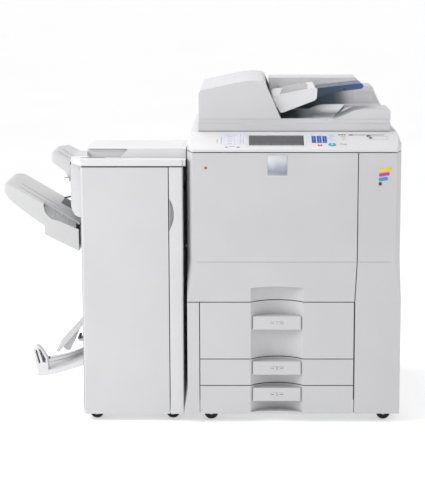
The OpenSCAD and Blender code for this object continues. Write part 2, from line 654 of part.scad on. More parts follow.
// Two hinges behind the feeder: a deck bracket with a pin through the feeder's knuckle
hinge_pairs = [-260, 220];
module feeder_hinges() color(c_steel) for (x = hinge_pairs) {
    block([x - 10, x + 50], [feeder_hinge[0] - 12, 800], [deck_z, deck_z + 1.5]);
    for (e = [x - 10, x + 42]) block([e, e + 8], [feeder_hinge[0] - 6, feeder_hinge[0] + 20],
        [deck_z, feeder_hinge[1] + 6]);
    rod_x(feeder_hinge[0], feeder_hinge[1], pin_r, [x - 5, x + 45]);
}

// ---- Casters ----
module caster_fork(x, y, toward) color(c_steel) {
    translate([x, y, 0]) {
        rod_z(0, 0, 19, [base_z[0] - 9, base_z[0] - 5]);
        rod_z(0, 0, stem_r, [base_z[0] - 6, base_z[1] - 1]);
        for (s = [-1, 1]) translate([0, s * (wheel_w / 2 + 1 + fork_t / 2), 0])
            hull() {
                translate([-10, -fork_t / 2, base_z[0] - 9]) cube([20, fork_t, 3]);
                rod_y(toward * caster_trail, wheel_r, 8, [-fork_t / 2, fork_t / 2]);
            }
        for (s = [-1, 1]) block([-12, 12], [min(s * 8, s * 14), max(s * 8, s * 14)],
            [base_z[0] - 9, base_z[0] - 6]);
        rod_y(toward * caster_trail, wheel_r, pin_r, [-wheel_w / 2 - 4.5, wheel_w / 2 + 4.5]);
    }
}
module wheel(x, y) color(c_dark) difference() {
    rod_y(x, wheel_r, wheel_r, [y - wheel_w / 2, y + wheel_w / 2]);
    rod_y(x, wheel_r, pin_r + pin_gap, [y - wheel_w / 2 - 1, y + wheel_w / 2 + 1]);
    for (s = [-1, 1]) translate([x, y + s * wheel_w / 2, wheel_r]) rotate([90, 0, 0]) difference() {
        cylinder(r = wheel_r - 6, h = 6, center = true);
        cylinder(r = 9, h = 8, center = true);
    }
}
module caster_fork_front_left() caster_fork(main_caster_x[0], caster_front_y, 1);
module caster_fork_front_right() caster_fork(main_caster_x[1], caster_front_y, 1);
module caster_fork_rear_left() caster_fork(main_caster_x[0], caster_rear_y, 1);
module caster_fork_rear_right() caster_fork(main_caster_x[1], caster_rear_y, 1);
module caster_wheel_front_left() wheel(main_caster_x[0] + caster_trail, caster_front_y);
module caster_wheel_front_right() wheel(main_caster_x[1] + caster_trail, caster_front_y);
module caster_wheel_rear_left() wheel(main_caster_x[0] + caster_trail, caster_rear_y);
module caster_wheel_rear_right() wheel(main_caster_x[1] + caster_trail, caster_rear_y);

module finisher_caster_forks() for (x = fin_caster_x, y = fin_caster_y) color(c_steel) {
    translate([x, y, 0]) {
        block([-20, 20], [-17, 17], [base_z[0] - 6, base_z[0]]);
        for (s = [-1, 1]) translate([0, s * (wheel_w / 2 + 1 + fork_t / 2), 0]) {
            block([-12, 12], [-fork_t / 2, fork_t / 2], [wheel_r, base_z[0] - 5]);
            rod_y(0, wheel_r, 12, [-fork_t / 2, fork_t / 2]);
        }
        rod_y(0, wheel_r, pin_r, [-wheel_w / 2 - 4, wheel_w / 2 + 4]);
    }
}
module finisher_left_wheels() for (y = fin_caster_y) wheel(fin_caster_x[0], y);
module finisher_right_wheels() for (y = fin_caster_y) wheel(fin_caster_x[1], y);

// ---- Finisher ----
fin_post = 22;
stapler_shelf_z = [640, 648];
exit_axle = [housing_x + 26, 748];
sensor_axle = [housing_x + 20, 778];
flap_hinge = [fin_x[0] - 10, 326];
flap_y = [booklet_y[0] + 34, booklet_y[1] - 26];
module finisher_frame() color(c_steel) difference() {
    union() {
        block([fin_x[0] + 6, fin_x[1] - 6], [54, 610], base_z);
        for (x = [fin_x[0] + 6, fin_x[1] - 6 - fin_post], y = [54, 588])
            block([x, x + fin_post], [y, y + fin_post], [base_z[1], 890]);
        block([fin_x[0] + 6, fin_x[1] - 6], [54, 610], [890, 896]);
        block([fin_x[0] + 28, fin_x[1] - 28], [575, 579], [base_z[1], 890]);
        block([fin_hinge[0] - 5, fin_hinge[0] + 7], [fin_hinge[1] - 8, 60], lug_z);
        block([fin_hinge[0] - 5, fin_hinge[0] + 7], [54, 60], [lug_z[0], base_z[1]]);
        block([fin_x[0] + 27, fin_x[1] - 12], [82, 576], stapler_shelf_z);
        for (y = dock_y) block([fin_x[1] - 18, fin_x[1] - 5], [y - 14, y + 14], [dock_z - 14, dock_z + 14]);
        block([fin_x[1] - 18, fin_x[1] - 10], [76, 588], [dock_z - 14, dock_z + 14]);
        block([fin_x[0] + 10, fin_x[0] + 14], [76, 588], [760, 790]);
    }
    rod_z(fin_hinge[0], fin_hinge[1], pin_r + pin_gap, [lug_z[0] - 1, lug_z[1] + 1]);
    for (y = dock_y) rod_x(y, dock_z, dock_r + 0.1, [fin_x[1] - 19, fin_x[1] + 1]);
}

housing = [[fin_x[0] + 2, fin_lid_z[0]], [housing_x + 4, fin_lid_z[0]], [housing_x, 902], [housing_x, 760],
           [housing_x + 3, 744], [housing_x + 12, 728], [housing_x + 24, 720], [fin_x[0] + 2, 716]];
housing_hollow = [[fin_x[0] + 6, 905], [housing_x + 5, 905], [housing_x + 5, 762], [housing_x + 10, 748],
                  [housing_x + 24, 732], [fin_x[0] + 6, 730]];

module finisher_cover() color(c_shell) difference() {
    union() {
        prism_z([[fin_door_x + 1.5, fin_y[0]], [fin_x[1] - 4, fin_y[0]], [fin_x[1], fin_y[0] + 4],
                 [fin_x[1], fin_y[1]], [fin_x[0], fin_y[1]], [fin_x[0], fin_y[0] + 37],
                     [fin_x[0] + panel_t, fin_y[0] + 37],
                 [fin_x[0] + panel_t, fin_y[1] - panel_t], [fin_x[1] - panel_t, fin_y[1] - panel_t],
                 [fin_x[1] - panel_t, fin_y[0] + panel_t + 2], [fin_door_x + 5.5, fin_y[0] + panel_t + 2],
                 [fin_door_x + 5.5, fin_y[0] + 30], [fin_door_x + 1.5, fin_y[0] + 30]],
                     [fin_skirt, fin_lid_z[0]]);
        difference() {
            prism_y(housing, housing_y);
            prism_y(housing_hollow, [housing_y[0] + 4, housing_y[1] - 4]);
        }
        // ears that carry the sensor arm and the booklet flap
        for (y = [284, 330]) block([housing_x + 3, housing_x + 26], [y, y + 6], [sensor_axle[1] - 8, 800]);
        for (y = [flap_y[0] - 8, flap_y[1] + 2])
            block([fin_x[0] - 18, fin_x[0] + 1], [y, y + 6], [flap_hinge[1] - 9, flap_hinge[1] + 9]);
    }
    for (y = [284, 330]) rod_y(sensor_axle[0], sensor_axle[1], small_pin_r + pin_gap, [y - 1, y + 7]);
    rod_y(flap_hinge[0], flap_hinge[1], small_pin_r + pin_gap, [flap_y[0] - 9, flap_y[1] + 9]);
    rod_y(exit_axle[0], exit_axle[1], small_pin_r + pin_gap, [housing_y[0] + 1, housing_y[1] - 1]);
    // paper slots: in from the copier, out to the shift tray and out to the booklet tray
    block([fin_x[1] - panel_t - 1, fin_x[1] + 1], slot_y, slot_z);
    block([fin_x[0] - 1, fin_x[0] + panel_t + 1], [housing_y[0] + 10, housing_y[1] - 10], [735, 800]);
    block([housing_x - 1, housing_x + 6], [housing_y[0] + 10, housing_y[1] - 10], [766, 790]);
    block([fin_x[0] - 1, fin_x[0] + panel_t + 1], [booklet_y[0] + 20, booklet_y[1] - 20], [252, 292]);
    for (y = dock_y) rod_x(y, dock_z, dock_r + 1, [fin_x[1] - panel_t - 1, fin_x[1] + 1]);
    // rails of the shift tray's lift
    for (y = tray_arm_y) block([fin_x[0] - 1, fin_x[0] + panel_t + 1], [y, y + 16], [390, 690]);
    // finger recess beside the door
    intersection() {
        block([fin_door_x, fin_door_x + 25], [fin_y[0] - 1, fin_y[0] + panel_t + 3], [682, 810]);
        rod_y(fin_door_x - 109 + 18, 746, 109, [fin_y[0] - 2, fin_y[0] + 20]);
    }
    for (x = [fin_x[0] + 60 : 14 : fin_x[0] + 200]) block([x, x + 6], [fin_y[1] - 6, fin_y[1] + 1],
        [700, 820]);
}

hood_profile = [[85, 924], [85, 968], [88, 971], [250, 972], [420, 962], [594, 940], [600, 934],
    [600, 924]];
hood_pocket = [[-726, 967], [-583, 967], [-608, 939], [-716, 939], [-724, 946]];
tray_side_x = fin_x[0] + 14;    // the lid ends here beside the upper tray
module finisher_top() color(c_console) difference() {
    union() {
        prism_z([[fin_x[0] + 6, fin_y[0]], [fin_x[1] - 4, fin_y[0]], [fin_x[1], fin_y[0] + 4],
            [fin_x[1], fin_y[1]],
                 [tray_side_x + 10, fin_y[1]], [tray_side_x, fin_y[1] - 12], [tray_side_x, 138],
                     [housing_x + 10, 134],
                 [housing_x + 5, 126], [housing_x + 6, 104], [fin_x[0] - 8, fin_y[0] + 30]], fin_lid_z);
        intersection() {
            prism_x(hood_profile, [fin_x[0] + 20, fin_x[1] - 2]);
            prism_z([[fin_x[0] + 20, 85], [fin_x[0] + 160, 85], [fin_x[0] + 330, 50], [fin_x[1] - 2, 60],
                     [fin_x[1] - 2, 600], [fin_x[0] + 48, 600], [fin_x[0] + 26, 570], [fin_x[0] + 20, 500]],
                    [fin_lid_z[0], fin_lid_z[1] + 60]);
        }
    }
    // the shallow pocket in the front of the hood and the mouth over the upper tray
    prism_y(hood_pocket, [84, 98]);
    block([fin_x[0] - 60, fin_x[0] + 40], [140, 480], [fin_lid_z[0] + 3, fin_lid_z[1] + 26]);
    block([fin_x[0] - 40, fin_x[0] + 40], [140, 480], [fin_lid_z[0] - 1, fin_lid_z[0] + 4]);
    rod_z(fin_hinge[0], fin_hinge[1], pin_r + pin_gap, [fin_lid_z[0] - 1, fin_lid_z[1] - 6]);
}

module finisher_door() color(c_shell) difference() {
    union() {
        prism_z([[fin_x[0] + 8, fin_y[0]], [fin_door_x - 1.5, fin_y[0]],
            [fin_door_x - 1.5, fin_y[0] + door_t],
                 [fin_x[0] + 16, fin_y[0] + door_t], [fin_x[0] + 10, fin_y[0] + 34],
                     [fin_x[0], fin_y[0] + 34],
                 [fin_x[0], fin_y[0] + 12], [fin_x[0] + 2.5, fin_y[0] + 4]], [fin_skirt, fin_door_top]);
        rod_z(fin_hinge[0], fin_hinge[1], pin_r, [fin_door_top - 1, fin_door_top + 14]);
    }
    block([fin_x[0] - 1, fin_hinge[0] + 22], [fin_y[0] + 5, fin_y[0] + 40], [lug_z[0] - 4, lug_z[1] + 4]);
    for (z = [[lug_z[1] + 20, 460], [480, fin_door_top - 14]])
        block([fin_x[0] + 40, fin_door_x - 16], [fin_y[0] + panel_t, fin_y[0] + door_t + 1], z);
}

// Outlines of the upper tray: seen from the front, then in plan
upper_side = concat([[-741, 914], [-741, 916.8]], spline([[-788, 917.5], [-812, 929], [-836, 943],
    [-846, 949.5], [-853, 951], [-859, 946], [-861, 932], [-858, 918], [-840, 903], [-824, 891],
        [-809, 879],
    [-803, 866], [-792, 853]], 2), [[-792, 914]]);
upper_plan = [[-740, 145], [-852, 145], [-858, 151], [-861, 175], [-861, 230], [-857, 295], [-847, 345],
    [-839, 395],
              [-835, 450], [-828, 475], [-740, 475]];
module upper_tray() color(c_shell) difference() {
    intersection() {
        prism_y(upper_side, [144, 476]);
        prism_z(upper_plan, [850, 955]);
    }
    // open from below between its skirts
    prism_y([[-796, 910], [-836, 935], [-848, 942], [-853, 936], [-852, 850], [-796, 850]], [150, 470]);
}

tray_root = fin_x[0] - 22;
tray_arm_y = [230, 400];
shift_side = concat([[tray_root, 690]], spline([[-1008, 832], [-1018, 837.5], [-1026, 838],
    [-left_reach, 828],
    [-left_reach + 1, 812], [-1014, 785], [-989, 761], [-928, 713], [-888, 686]], 2), [[-887, 653],
        [tray_root, 593]]);
shift_plan = [[tray_root, tray_y[0]], [-1022, tray_y[0]], [-1030, 158], [-left_reach, 190],
    [-left_reach, 300], [-1028, 372],
              [-1019, 422], [-1008, 466], [-998, tray_y[1]], [tray_root, tray_y[1]]];
// Finger notch in the front edge, which runs on as a low front to the root
shift_notch = concat([[-896, 790]], spline([[-889, 749], [-886, 736], [-873, 718], [-856, 707],
    [-833, 700], [-810, 690],
    [-777, 675], [tray_root + 1, 671]], 2), [[tray_root + 1, 790]]);
module shift_tray() color(c_shell) difference() {
    union() {
        difference() {
            intersection() {
                prism_y(shift_side, tray_y);
                prism_z(shift_plan, [590, 840]);
            }
            prism_y([[tray_root + 1, 682], [-990, 814], [-1004, 810], [-985, 775], [-925, 723],
                [-882, 694], [-880, 658],
                     [tray_root + 1, 604]], [tray_y[0] + 5, tray_y[1] - 5]);
        }
        for (y = tray_arm_y) block([tray_root - 4, fin_x[0] + 22], [y + 2, y + 14], [600, 674]);
    }
    prism_y(shift_notch, [tray_y[0] - 1, tray_y[0] + 34]);
}

module sensor_arm() color(c_dark) {
    rod_y(sensor_axle[0], sensor_axle[1], small_pin_r, [283, 337]);
    rod_y(sensor_axle[0], sensor_axle[1], 6, [292, 328]);
    translate([sensor_axle[0], 306, sensor_axle[1]]) rotate([0, -14, 0]) translate([-66, 0,
        -2.5]) cube([64, 8, 5]);
}

// A low tray with an upright stop at its left end, and two slots in the stop's front
stop_y = [booklet_y[0], 204];
module booklet_tray() color(c_shell) difference() {
    union() {
        prism_y(concat(spline([[fin_x[0] - 1, 197], [-762, 190], [-820, 166], [-870, 153], [-918, 144],
            [-927, 136],
                               [-925, 127], [-883, 132], [-820, 147],
                                   [-760, 167]], 2), [[fin_x[0] - 1, 172]]), booklet_y);
        prism_y(spline([[-888, 150], [-893, 196], [-914, 229], [-927, 240], [-935, 236], [-942, 224],
            [-936, 190],
                        [-929, 152], [-926, 140]], 2), stop_y);
    }
    prism_y([[fin_x[0], 188], [-762, 182], [-820, 158], [-870, 145], [-900, 139], [-883, 120],
        [-760, 120], [fin_x[0], 120]],
            [booklet_y[0] + 5, booklet_y[1] - 5]);
    prism_y([[-935, 222], [-929, 224], [-917, 178], [-922, 172]], [stop_y[0] - 1, stop_y[1] - 4]);
    prism_y([[-924, 231], [-914, 222], [-898, 192], [-898, 176], [-908, 178]],
        [stop_y[0] - 1, stop_y[1] - 4]);
}

module booklet_flap() color(c_shell) {
    rod_y(flap_hinge[0], flap_hinge[1], 6, flap_y);
    rod_y(flap_hinge[0], flap_hinge[1], small_pin_r, [flap_y[0] - 8, flap_y[1] + 8]);
    prism_y([[flap_hinge[0] + 3, flap_hinge[1] - 4], [flap_hinge[0] - 2, flap_hinge[1] + 4],
        [-861, 216], [-861, 211],
             [-853, 208]], flap_y);
    for (y = [booklet_y[0] + 50, booklet_y[1] - 66])
        prism_y([[-776, 296], [-838, 224], [-826, 212], [-812, 212], [-796, 250]], [y, y + 22]);
}

module stapler() color(c_dark) difference() {
    block([-700, -610], [110, 240], [stapler_shelf_z[1], 740]);
    block([-702, -640], [108, 180], [688, 700]);
}

module exit_rollers() color(c_dark) {
    rod_y(exit_axle[0], exit_axle[1], small_pin_r, [housing_y[0] + 1.5, housing_y[1] - 1.5]);
    for (y = [180, 260, 350, 430]) rod_y(exit_axle[0], exit_axle[1], 11, [y, y + 24]);
}

place() main_frame();
place() left_cover();
place() right_cover();
place() rear_cover();
place() control_panel();
place() upper_deck();
place() platen_glass();
place() touch_screen();
place() inner_cover();
place() front_door();
place() side_door();
place() tray_1();
place() tray_2();
place() tray_3();
place() tray_1_handle();
place() tray_2_handle();
place() tray_3_handle();
place() bypass_tray();
place() scan_carriage();
place() toner_bottles();
place() drum_cartridges();
place() transfer_belt();
place() laser_unit();
place() fuser_unit();
place() controller_box();
place() number_keys();
place() function_keys();
place() start_key();
place() stop_key();
place() feeder_base();
place() feeder_cover();
place() document_table();
place() table_extension();
place() front_fence();
place() rear_fence();
place() feed_roller();
place() platen_pad();
place() feeder_hinges();
place() caster_fork_front_left();
place() caster_fork_front_right();
place() caster_fork_rear_left();
place() caster_fork_rear_right();
place() caster_wheel_front_left();
place() caster_wheel_front_right();
place() caster_wheel_rear_left();
place() caster_wheel_rear_right();
place() finisher_frame();
place() finisher_cover();
place() finisher_top();
place() finisher_door();
place() upper_tray();
place() shift_tray();
place() booklet_tray();
place() booklet_flap();
place() stapler();
place() exit_rollers();
place() sensor_arm();
place() finisher_caster_forks();
place() finisher_left_wheels();
place() finisher_right_wheels();
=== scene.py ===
"""Looks of the photocopier: materials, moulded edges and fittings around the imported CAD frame.

Lengths are metres in the CAD's own frame: +X right, +Y from front to back, +Z up. Fittings are drawn in mm
from the middle of the copier body, its front and the floor. at() turns such a point into the CAD's frame,
from the corners of CAD nodes. Sections: camera, mesh helpers, materials, places, CAD nodes, fittings, stage.
"""
from math import atan2, cos, pi, radians, sin

import bmesh
import bpy
from mathutils import Matrix, Vector


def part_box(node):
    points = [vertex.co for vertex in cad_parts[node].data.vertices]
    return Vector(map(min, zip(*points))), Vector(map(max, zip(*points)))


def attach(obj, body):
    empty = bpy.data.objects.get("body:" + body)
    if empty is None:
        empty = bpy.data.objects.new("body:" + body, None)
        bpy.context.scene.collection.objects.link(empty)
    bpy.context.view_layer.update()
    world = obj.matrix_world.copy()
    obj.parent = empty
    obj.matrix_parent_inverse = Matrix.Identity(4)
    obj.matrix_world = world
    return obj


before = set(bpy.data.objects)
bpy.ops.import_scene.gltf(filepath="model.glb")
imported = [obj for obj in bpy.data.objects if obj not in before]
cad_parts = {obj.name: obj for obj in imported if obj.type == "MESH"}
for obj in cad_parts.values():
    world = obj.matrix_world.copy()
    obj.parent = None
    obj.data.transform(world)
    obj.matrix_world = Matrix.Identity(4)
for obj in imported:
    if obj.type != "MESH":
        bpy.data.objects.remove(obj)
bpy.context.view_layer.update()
MM = 0.001


# ---------------------------------------------------------------- camera

LENS_MM = 116.5
PICTURE_SHIFT = -0.073  # sideways, in picture widths
CAMERA_PLACE = (-0.158, -5.558)  # right of the console's middle, and back from its front edge
CAMERA_HEIGHT = 1.605
LOOKING_DOWN = 10.02  # degrees
FLOOR_RADIUS = 120
FAR_CLIP = 260  # beyond the far edge of the floor


def make_camera():
    """The photograph's view: a long lens well back, a little above the machine, looking slightly down."""
    lo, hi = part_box("control_panel")
    data = bpy.data.cameras.new("camera")
    data.lens = LENS_MM
    data.shift_x = PICTURE_SHIFT
    data.clip_end = FAR_CLIP
    camera = bpy.data.objects.new("camera", data)
    camera.location = ((lo.x + hi.x) / 2 + CAMERA_PLACE[0], lo.y + CAMERA_PLACE[1], CAMERA_HEIGHT)
    camera.rotation_euler = (radians(90 - LOOKING_DOWN), 0, 0)
    bpy.context.scene.collection.objects.link(camera)
    bpy.context.scene.camera = camera


make_camera()


# ---------------------------------------------------------------- mesh helpers

FRONT, BACK, RIGHT, UP, DOWN = (0, -1, 0), (0, 1, 0), (1, 0, 0), (0, 0, 1), (0, 0, -1)
BEVEL_STEPS = 2  # segments of a rounded edge
SHARP_ANGLE = 35  # degrees at which a fitting's shading breaks


def rod_matrix(axis, point):
    """Places a piece drawn along +Z so that it points along axis from a point."""
    turn = Vector((0, 0, 1)).rotation_difference(Vector(axis)).to_matrix().to_4x4()
    return Matrix.Translation(Vector(point)) @ turn


def new_piece(name, bm, material, body, smooth=True, matrix=None):
    """Turns a bmesh into a piece that rides on a CAD body."""
    if matrix is not None:
        bm.transform(matrix)
    bmesh.ops.recalc_face_normals(bm, faces=bm.faces)
    mesh = bpy.data.meshes.new(name)
    bm.to_mesh(mesh)
    bm.free()
    mesh.materials.append(MATERIALS[material])
    piece = bpy.data.objects.new(name, mesh)
    bpy.context.scene.collection.objects.link(piece)
    if smooth:
        mesh.shade_smooth()
        mesh.set_sharp_from_angle(angle=radians(SHARP_ANGLE))
    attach(piece, body)


def add_box(bm, lo, hi, radius):
    """A box between two corners, with its edges rounded."""
    lo, hi = Vector(lo), Vector(hi)
    made = bmesh.ops.create_cube(bm, size=1.0)["verts"]
    for v in made:
        v.co = Vector([(lo[i] + hi[i]) / 2 + v.co[i] * (hi[i] - lo[i]) for i in range(3)])
    edges = {e for v in made for e in v.link_edges}
    bmesh.ops.bevel(bm, geom=list(edges), offset=min(radius, min(hi - lo) * 0.45), segments=BEVEL_STEPS,
                    profile=0.5, affect="EDGES")


def add_prism(bm, outline, depth, matrix, radius=0.0):
    """Extrudes an outline of 2-D points from 0 to depth along its own +Z, then moves it by matrix."""
    near = [bm.verts.new((u, v, 0)) for u, v in outline]
    far = [bm.verts.new((u, v, depth)) for u, v in outline]
    count = len(outline)
    bm.faces.new(near)
    cap = bm.faces.new(list(reversed(far)))
    for i in range(count):
        n = (i + 1) % count
        bm.faces.new((near[i], far[i], far[n], near[n]))
    bmesh.ops.transform(bm, matrix=matrix, verts=near + far)
    if radius > 0:
        bmesh.ops.bevel(bm, geom=list(cap.edges), offset=radius, segments=BEVEL_STEPS, profile=0.5,
                        affect="EDGES")


def add_lathe(bm, profile, matrix, sides=32):
    """Turns a profile of (radius, height) points about its own +Z; radius 0 closes an end."""
    rings = []
    for radius, height in profile:
        angles = [2 * pi * k / sides for k in range(sides if radius > 0 else 1)]
        rings.append([bm.verts.new((radius * cos(a), radius * sin(a), height)) for a in angles])
    for low, high in zip(rings, rings[1:]):
        for k in range(sides):
            n = (k + 1) % sides
            corners = [low[k % len(low)], low[n % len(low)], high[n % len(high)], high[k % len(high)]]
            corners = list(dict.fromkeys(corners))
            if len(corners) > 2:
                bm.faces.new(corners)
    bmesh.ops.transform(bm, matrix=matrix, verts=[v for ring in rings for v in ring])


def rounded_outline(width, height, radius, steps=6):
    """The outline of a rectangle with round corners, about its middle."""
    points = []
    for cx, cy, start in ((1, 1, 0), (-1, 1, 90), (-1, -1, 180), (1, -1, 270)):
        for k in range(steps + 1):
            a = radians(start + 90 * k / steps)
            points.append((cx * (width / 2 - radius) + radius * cos(a),
                           cy * (height / 2 - radius) + radius * sin(a)))
    return points


def facing(normal, up, point):
    """A frame whose Z is normal and whose Y is as near up as it can be, with its origin at a point."""
    z = Vector(normal).normalized()
    x = Vector(up).cross(z).normalized()
    y = z.cross(x)
    turn = Matrix((x, y, z)).transposed().to_4x4()
    return Matrix.Translation(Vector(point)) @ turn


# ---------------------------------------------------------------- materials

MATERIALS = {}


class Shader:
    """A node-based material, with short ways to add and link its nodes."""

    def __init__(self, name, slot):
        self.material = bpy.data.materials.new(name)
        self.material.use_nodes = True
        self.tree = self.material.node_tree
        self.surface = self.tree.nodes["Principled BSDF"]
        self.coords = self.tree.nodes.new("ShaderNodeTexCoord").outputs["Object"]
        MATERIALS[name] = self.material

    def node(self, kind, inputs=None, **settings):
        """Adds a shader node with its settings, and feeds its inputs."""
        made = self.tree.nodes.new(kind)
        for key, value in settings.items():
            setattr(made, key, value)
        for key, value in (inputs or {}).items():
            self.feed(made.inputs[key], value)
        return made

    def feed(self, socket, value):
        """Links another node's output to a socket, or sets the socket to a plain value."""
        if isinstance(value, bpy.types.NodeSocket):
            self.tree.links.new(value, socket)
        else:
            socket.default_value = value

    def set(self, **values):
        """Feeds the shader's own sockets; an underscore in a name stands for a space."""
        for key, value in values.items():
            self.feed(self.surface.inputs[key.replace("_", " ")], value)

    def noise(self, scale, detail=3.0, stretch=(1, 1, 1)):
        """Noise over the object, about 0.3 to 0.7, with scale waves to the metre."""
        place = self.node("ShaderNodeMapping", {"Vector": self.coords, "Scale": stretch}).outputs[0]
        return self.node("ShaderNodeTexNoise", {"Vector": place, "Scale": scale, "Detail": detail}).outputs[0]

    def remap(self, value, low, high, from_low=0.3, from_high=0.7):
        """Stretches a value from one range to another."""
        return self.node("ShaderNodeMapRange", {"Value": value, "From Min": from_low, "From Max": from_high,
                                                "To Min": low, "To Max": high}).outputs[0]

    def times(self, a, b):
        return self.node("ShaderNodeMath", {0: a, 1: b}, operation="MULTIPLY").outputs[0]

    def mix(self, factor, a, b):
        """A colour between a and b."""
        made = self.node("ShaderNodeMix", data_type="RGBA")
        for socket, value in ((made.inputs[0], factor), (made.inputs[6], a), (made.inputs[7], b)):
            self.feed(socket, value)
        return made.outputs[2]

    def bump(self, height, distance, normal=None):
        inputs = {"Height": height, "Distance": distance}
        if normal is not None:
            inputs["Normal"] = normal
        return self.node("ShaderNodeBump", inputs).outputs[0]

    def rounded(self, radius):
        """The normal that rounds off edges by radius, and a mask that is 1 on those edges."""
        soft = self.node("ShaderNodeBevel", {"Radius": radius}, samples=4).outputs[0]
        flat = self.node("ShaderNodeNewGeometry").outputs["Normal"]
        same = self.node("ShaderNodeVectorMath", {0: soft, 1: flat}, operation="DOT_PRODUCT")
        return soft, self.remap(same.outputs["Value"], 1.0, 0.0, 0.80, 0.995)

    def creases(self, distance, amount):
        """A mask of painted shade from ambient occlusion, that rises to amount in corners and gaps."""
        air = self.node("ShaderNodeAmbientOcclusion", {"Distance": distance}, samples=4).outputs["AO"]
        return self.remap(air, amount, 0.0, 0.25, 0.9)


def scaled(colour, factor):
    """A colour made darker or lighter by factor, with its alpha."""
    return (*(c * factor for c in colour[:3]), 1.0)


def moulded_plastic(name, slot, colour, rough=0.45, grain=0.05, wear_and_highlight=0.5, dust_and_shade=0.35, coat=0.0, bevel=2.0):
    """Injection-moulded plastic: fine spark-eroded grain, faint mottling, edges lightened as rubbed wear and
    painted highlight, and corners darkened as dust and painted shade.
    """
    s = Shader(name, slot)
    soft, edge = s.rounded(bevel * MM)
    tint = s.mix(s.remap(s.noise(5.0, 4.0), 0.0, 1.0), scaled(colour, 0.965), scaled(colour, 1.01))
    tint = s.mix(s.remap(s.noise(2200.0, 1.0), 0.0, 0.12), tint, scaled(colour, 0.78))
    # edges lightened towards a paler copy: rubbed wear and a painted highlight
    tint = s.mix(s.times(edge, s.remap(s.noise(30.0), 0.0, wear_and_highlight)), tint, scaled(colour, 1.3))
    # corners and gaps darkened from ambient occlusion: dust and painted shade
    tint = s.mix(s.creases(0.03, dust_and_shade), tint, scaled(colour, 0.68))
    height = s.bump(s.noise(1400.0, 2.0), grain * MM, soft)
    s.set(Base_Color=tint, Roughness=s.remap(s.noise(14.0, 5.0), rough - 0.05, rough + 0.05), Normal=height,
          Coat_Weight=coat, Coat_Roughness=0.2)


def plated_steel(name, slot, colour, rough=0.34):
    """Zinc-plated sheet: spangled tone, rolling lines, edges brightened as a painted highlight and crevices
    darkened as painted shade.
    """
    s = Shader(name, slot)
    soft, edge = s.rounded(0.8 * MM)
    spangle = s.node("ShaderNodeTexVoronoi", {"Vector": s.coords, "Scale": 90.0}).outputs["Distance"]
    tint = s.mix(s.remap(spangle, 0.0, 1.0, 0.1, 0.8), scaled(colour, 0.9), scaled(colour, 1.08))
    # painted highlight: a lighter copy along the edges
    tint = s.mix(s.times(edge, s.remap(s.noise(25.0), 0.2, 0.9)), tint, scaled(colour, 1.35))
    # painted shade: a darker copy in crevices, from ambient occlusion
    tint = s.mix(s.creases(0.02, 0.5), tint, scaled(colour, 0.45))
    lines = s.noise(60.0, 4.0, stretch=(1, 1, 14))
    s.set(Base_Color=tint, Metallic=0.9, Roughness=s.remap(lines, rough - 0.08, rough + 0.12),
          Normal=s.bump(lines, 0.03 * MM, soft))


def rubber(name, slot, colour, rough=0.7):
    """Rubber with a fine tooth and a grey bloom of dust on its raised edges."""
    s = Shader(name, slot)
    soft, edge = s.rounded(1.0 * MM)
    tint = s.mix(s.remap(s.noise(40.0, 5.0), 0.0, 0.5), scaled(colour, 1.0), scaled(colour, 1.9))
    tint = s.mix(s.times(edge, s.remap(s.noise(60.0), 0.1, 0.6)), tint, scaled(colour, 3.0))
    s.set(Base_Color=tint, Roughness=s.remap(s.noise(200.0), rough - 0.08, rough + 0.1),
          Normal=s.bump(s.noise(900.0, 2.0), 0.08 * MM, soft))


def clear_glass(name, slot):
    """Float glass with a faint green body and slight smears."""
    s = Shader(name, slot)
    s.set(Base_Color=s.mix(s.remap(s.noise(8.0), 0.0, 1.0), (0.80, 0.90, 0.87, 1), (0.86, 0.94, 0.91, 1)),
          Roughness=s.remap(s.noise(12.0, 5.0), 0.01, 0.07), Transmission_Weight=0.9, IOR=1.5)


def glossy_plastic(name, slot, colour, rough=0.25, coat=0.4, glow=0.0):
    """Smooth plastic or a printed lacquer: light orange peel under a clear coat, and a painted highlight
    along its edges.
    """
    s = Shader(name, slot)
    soft, edge = s.rounded(0.5 * MM)
    tint = s.mix(s.remap(s.noise(25.0, 4.0), 0.0, 1.0), scaled(colour, 0.93), scaled(colour, 1.04))
    # painted highlight: a lighter copy along the edges
    tint = s.mix(s.times(edge, 0.35), tint, scaled(colour, 1.25))
    s.set(Base_Color=tint, Roughness=s.remap(s.noise(60.0, 4.0), rough - 0.06, rough + 0.06),
          Normal=s.bump(s.noise(120.0, 1.0), 0.02 * MM, soft), Coat_Weight=coat, Coat_Roughness=0.08)
    if glow > 0:
        s.set(Emission_Color=(*colour[:3], 1.0), Emission_Strength=glow)


def brushed_metal(name, slot, colour, rough=0.3):
    """Bright metal with lines drawn along X, and a painted highlight along its edges."""
    s = Shader(name, slot)
    soft, edge = s.rounded(0.4 * MM)
    lines = s.noise(300.0, 3.0, stretch=(0.04, 1, 1))
    tint = s.mix(s.remap(lines, 0.0, 1.0), scaled(colour, 0.85), scaled(colour, 1.08))
    # painted highlight: a lighter copy along the edges
    tint = s.mix(s.times(edge, 0.6), tint, scaled(colour, 1.3))
    s.set(Base_Color=tint, Metallic=1.0, Roughness=s.remap(lines, rough - 0.1, rough + 0.12),
          Normal=s.bump(lines, 0.015 * MM, soft))


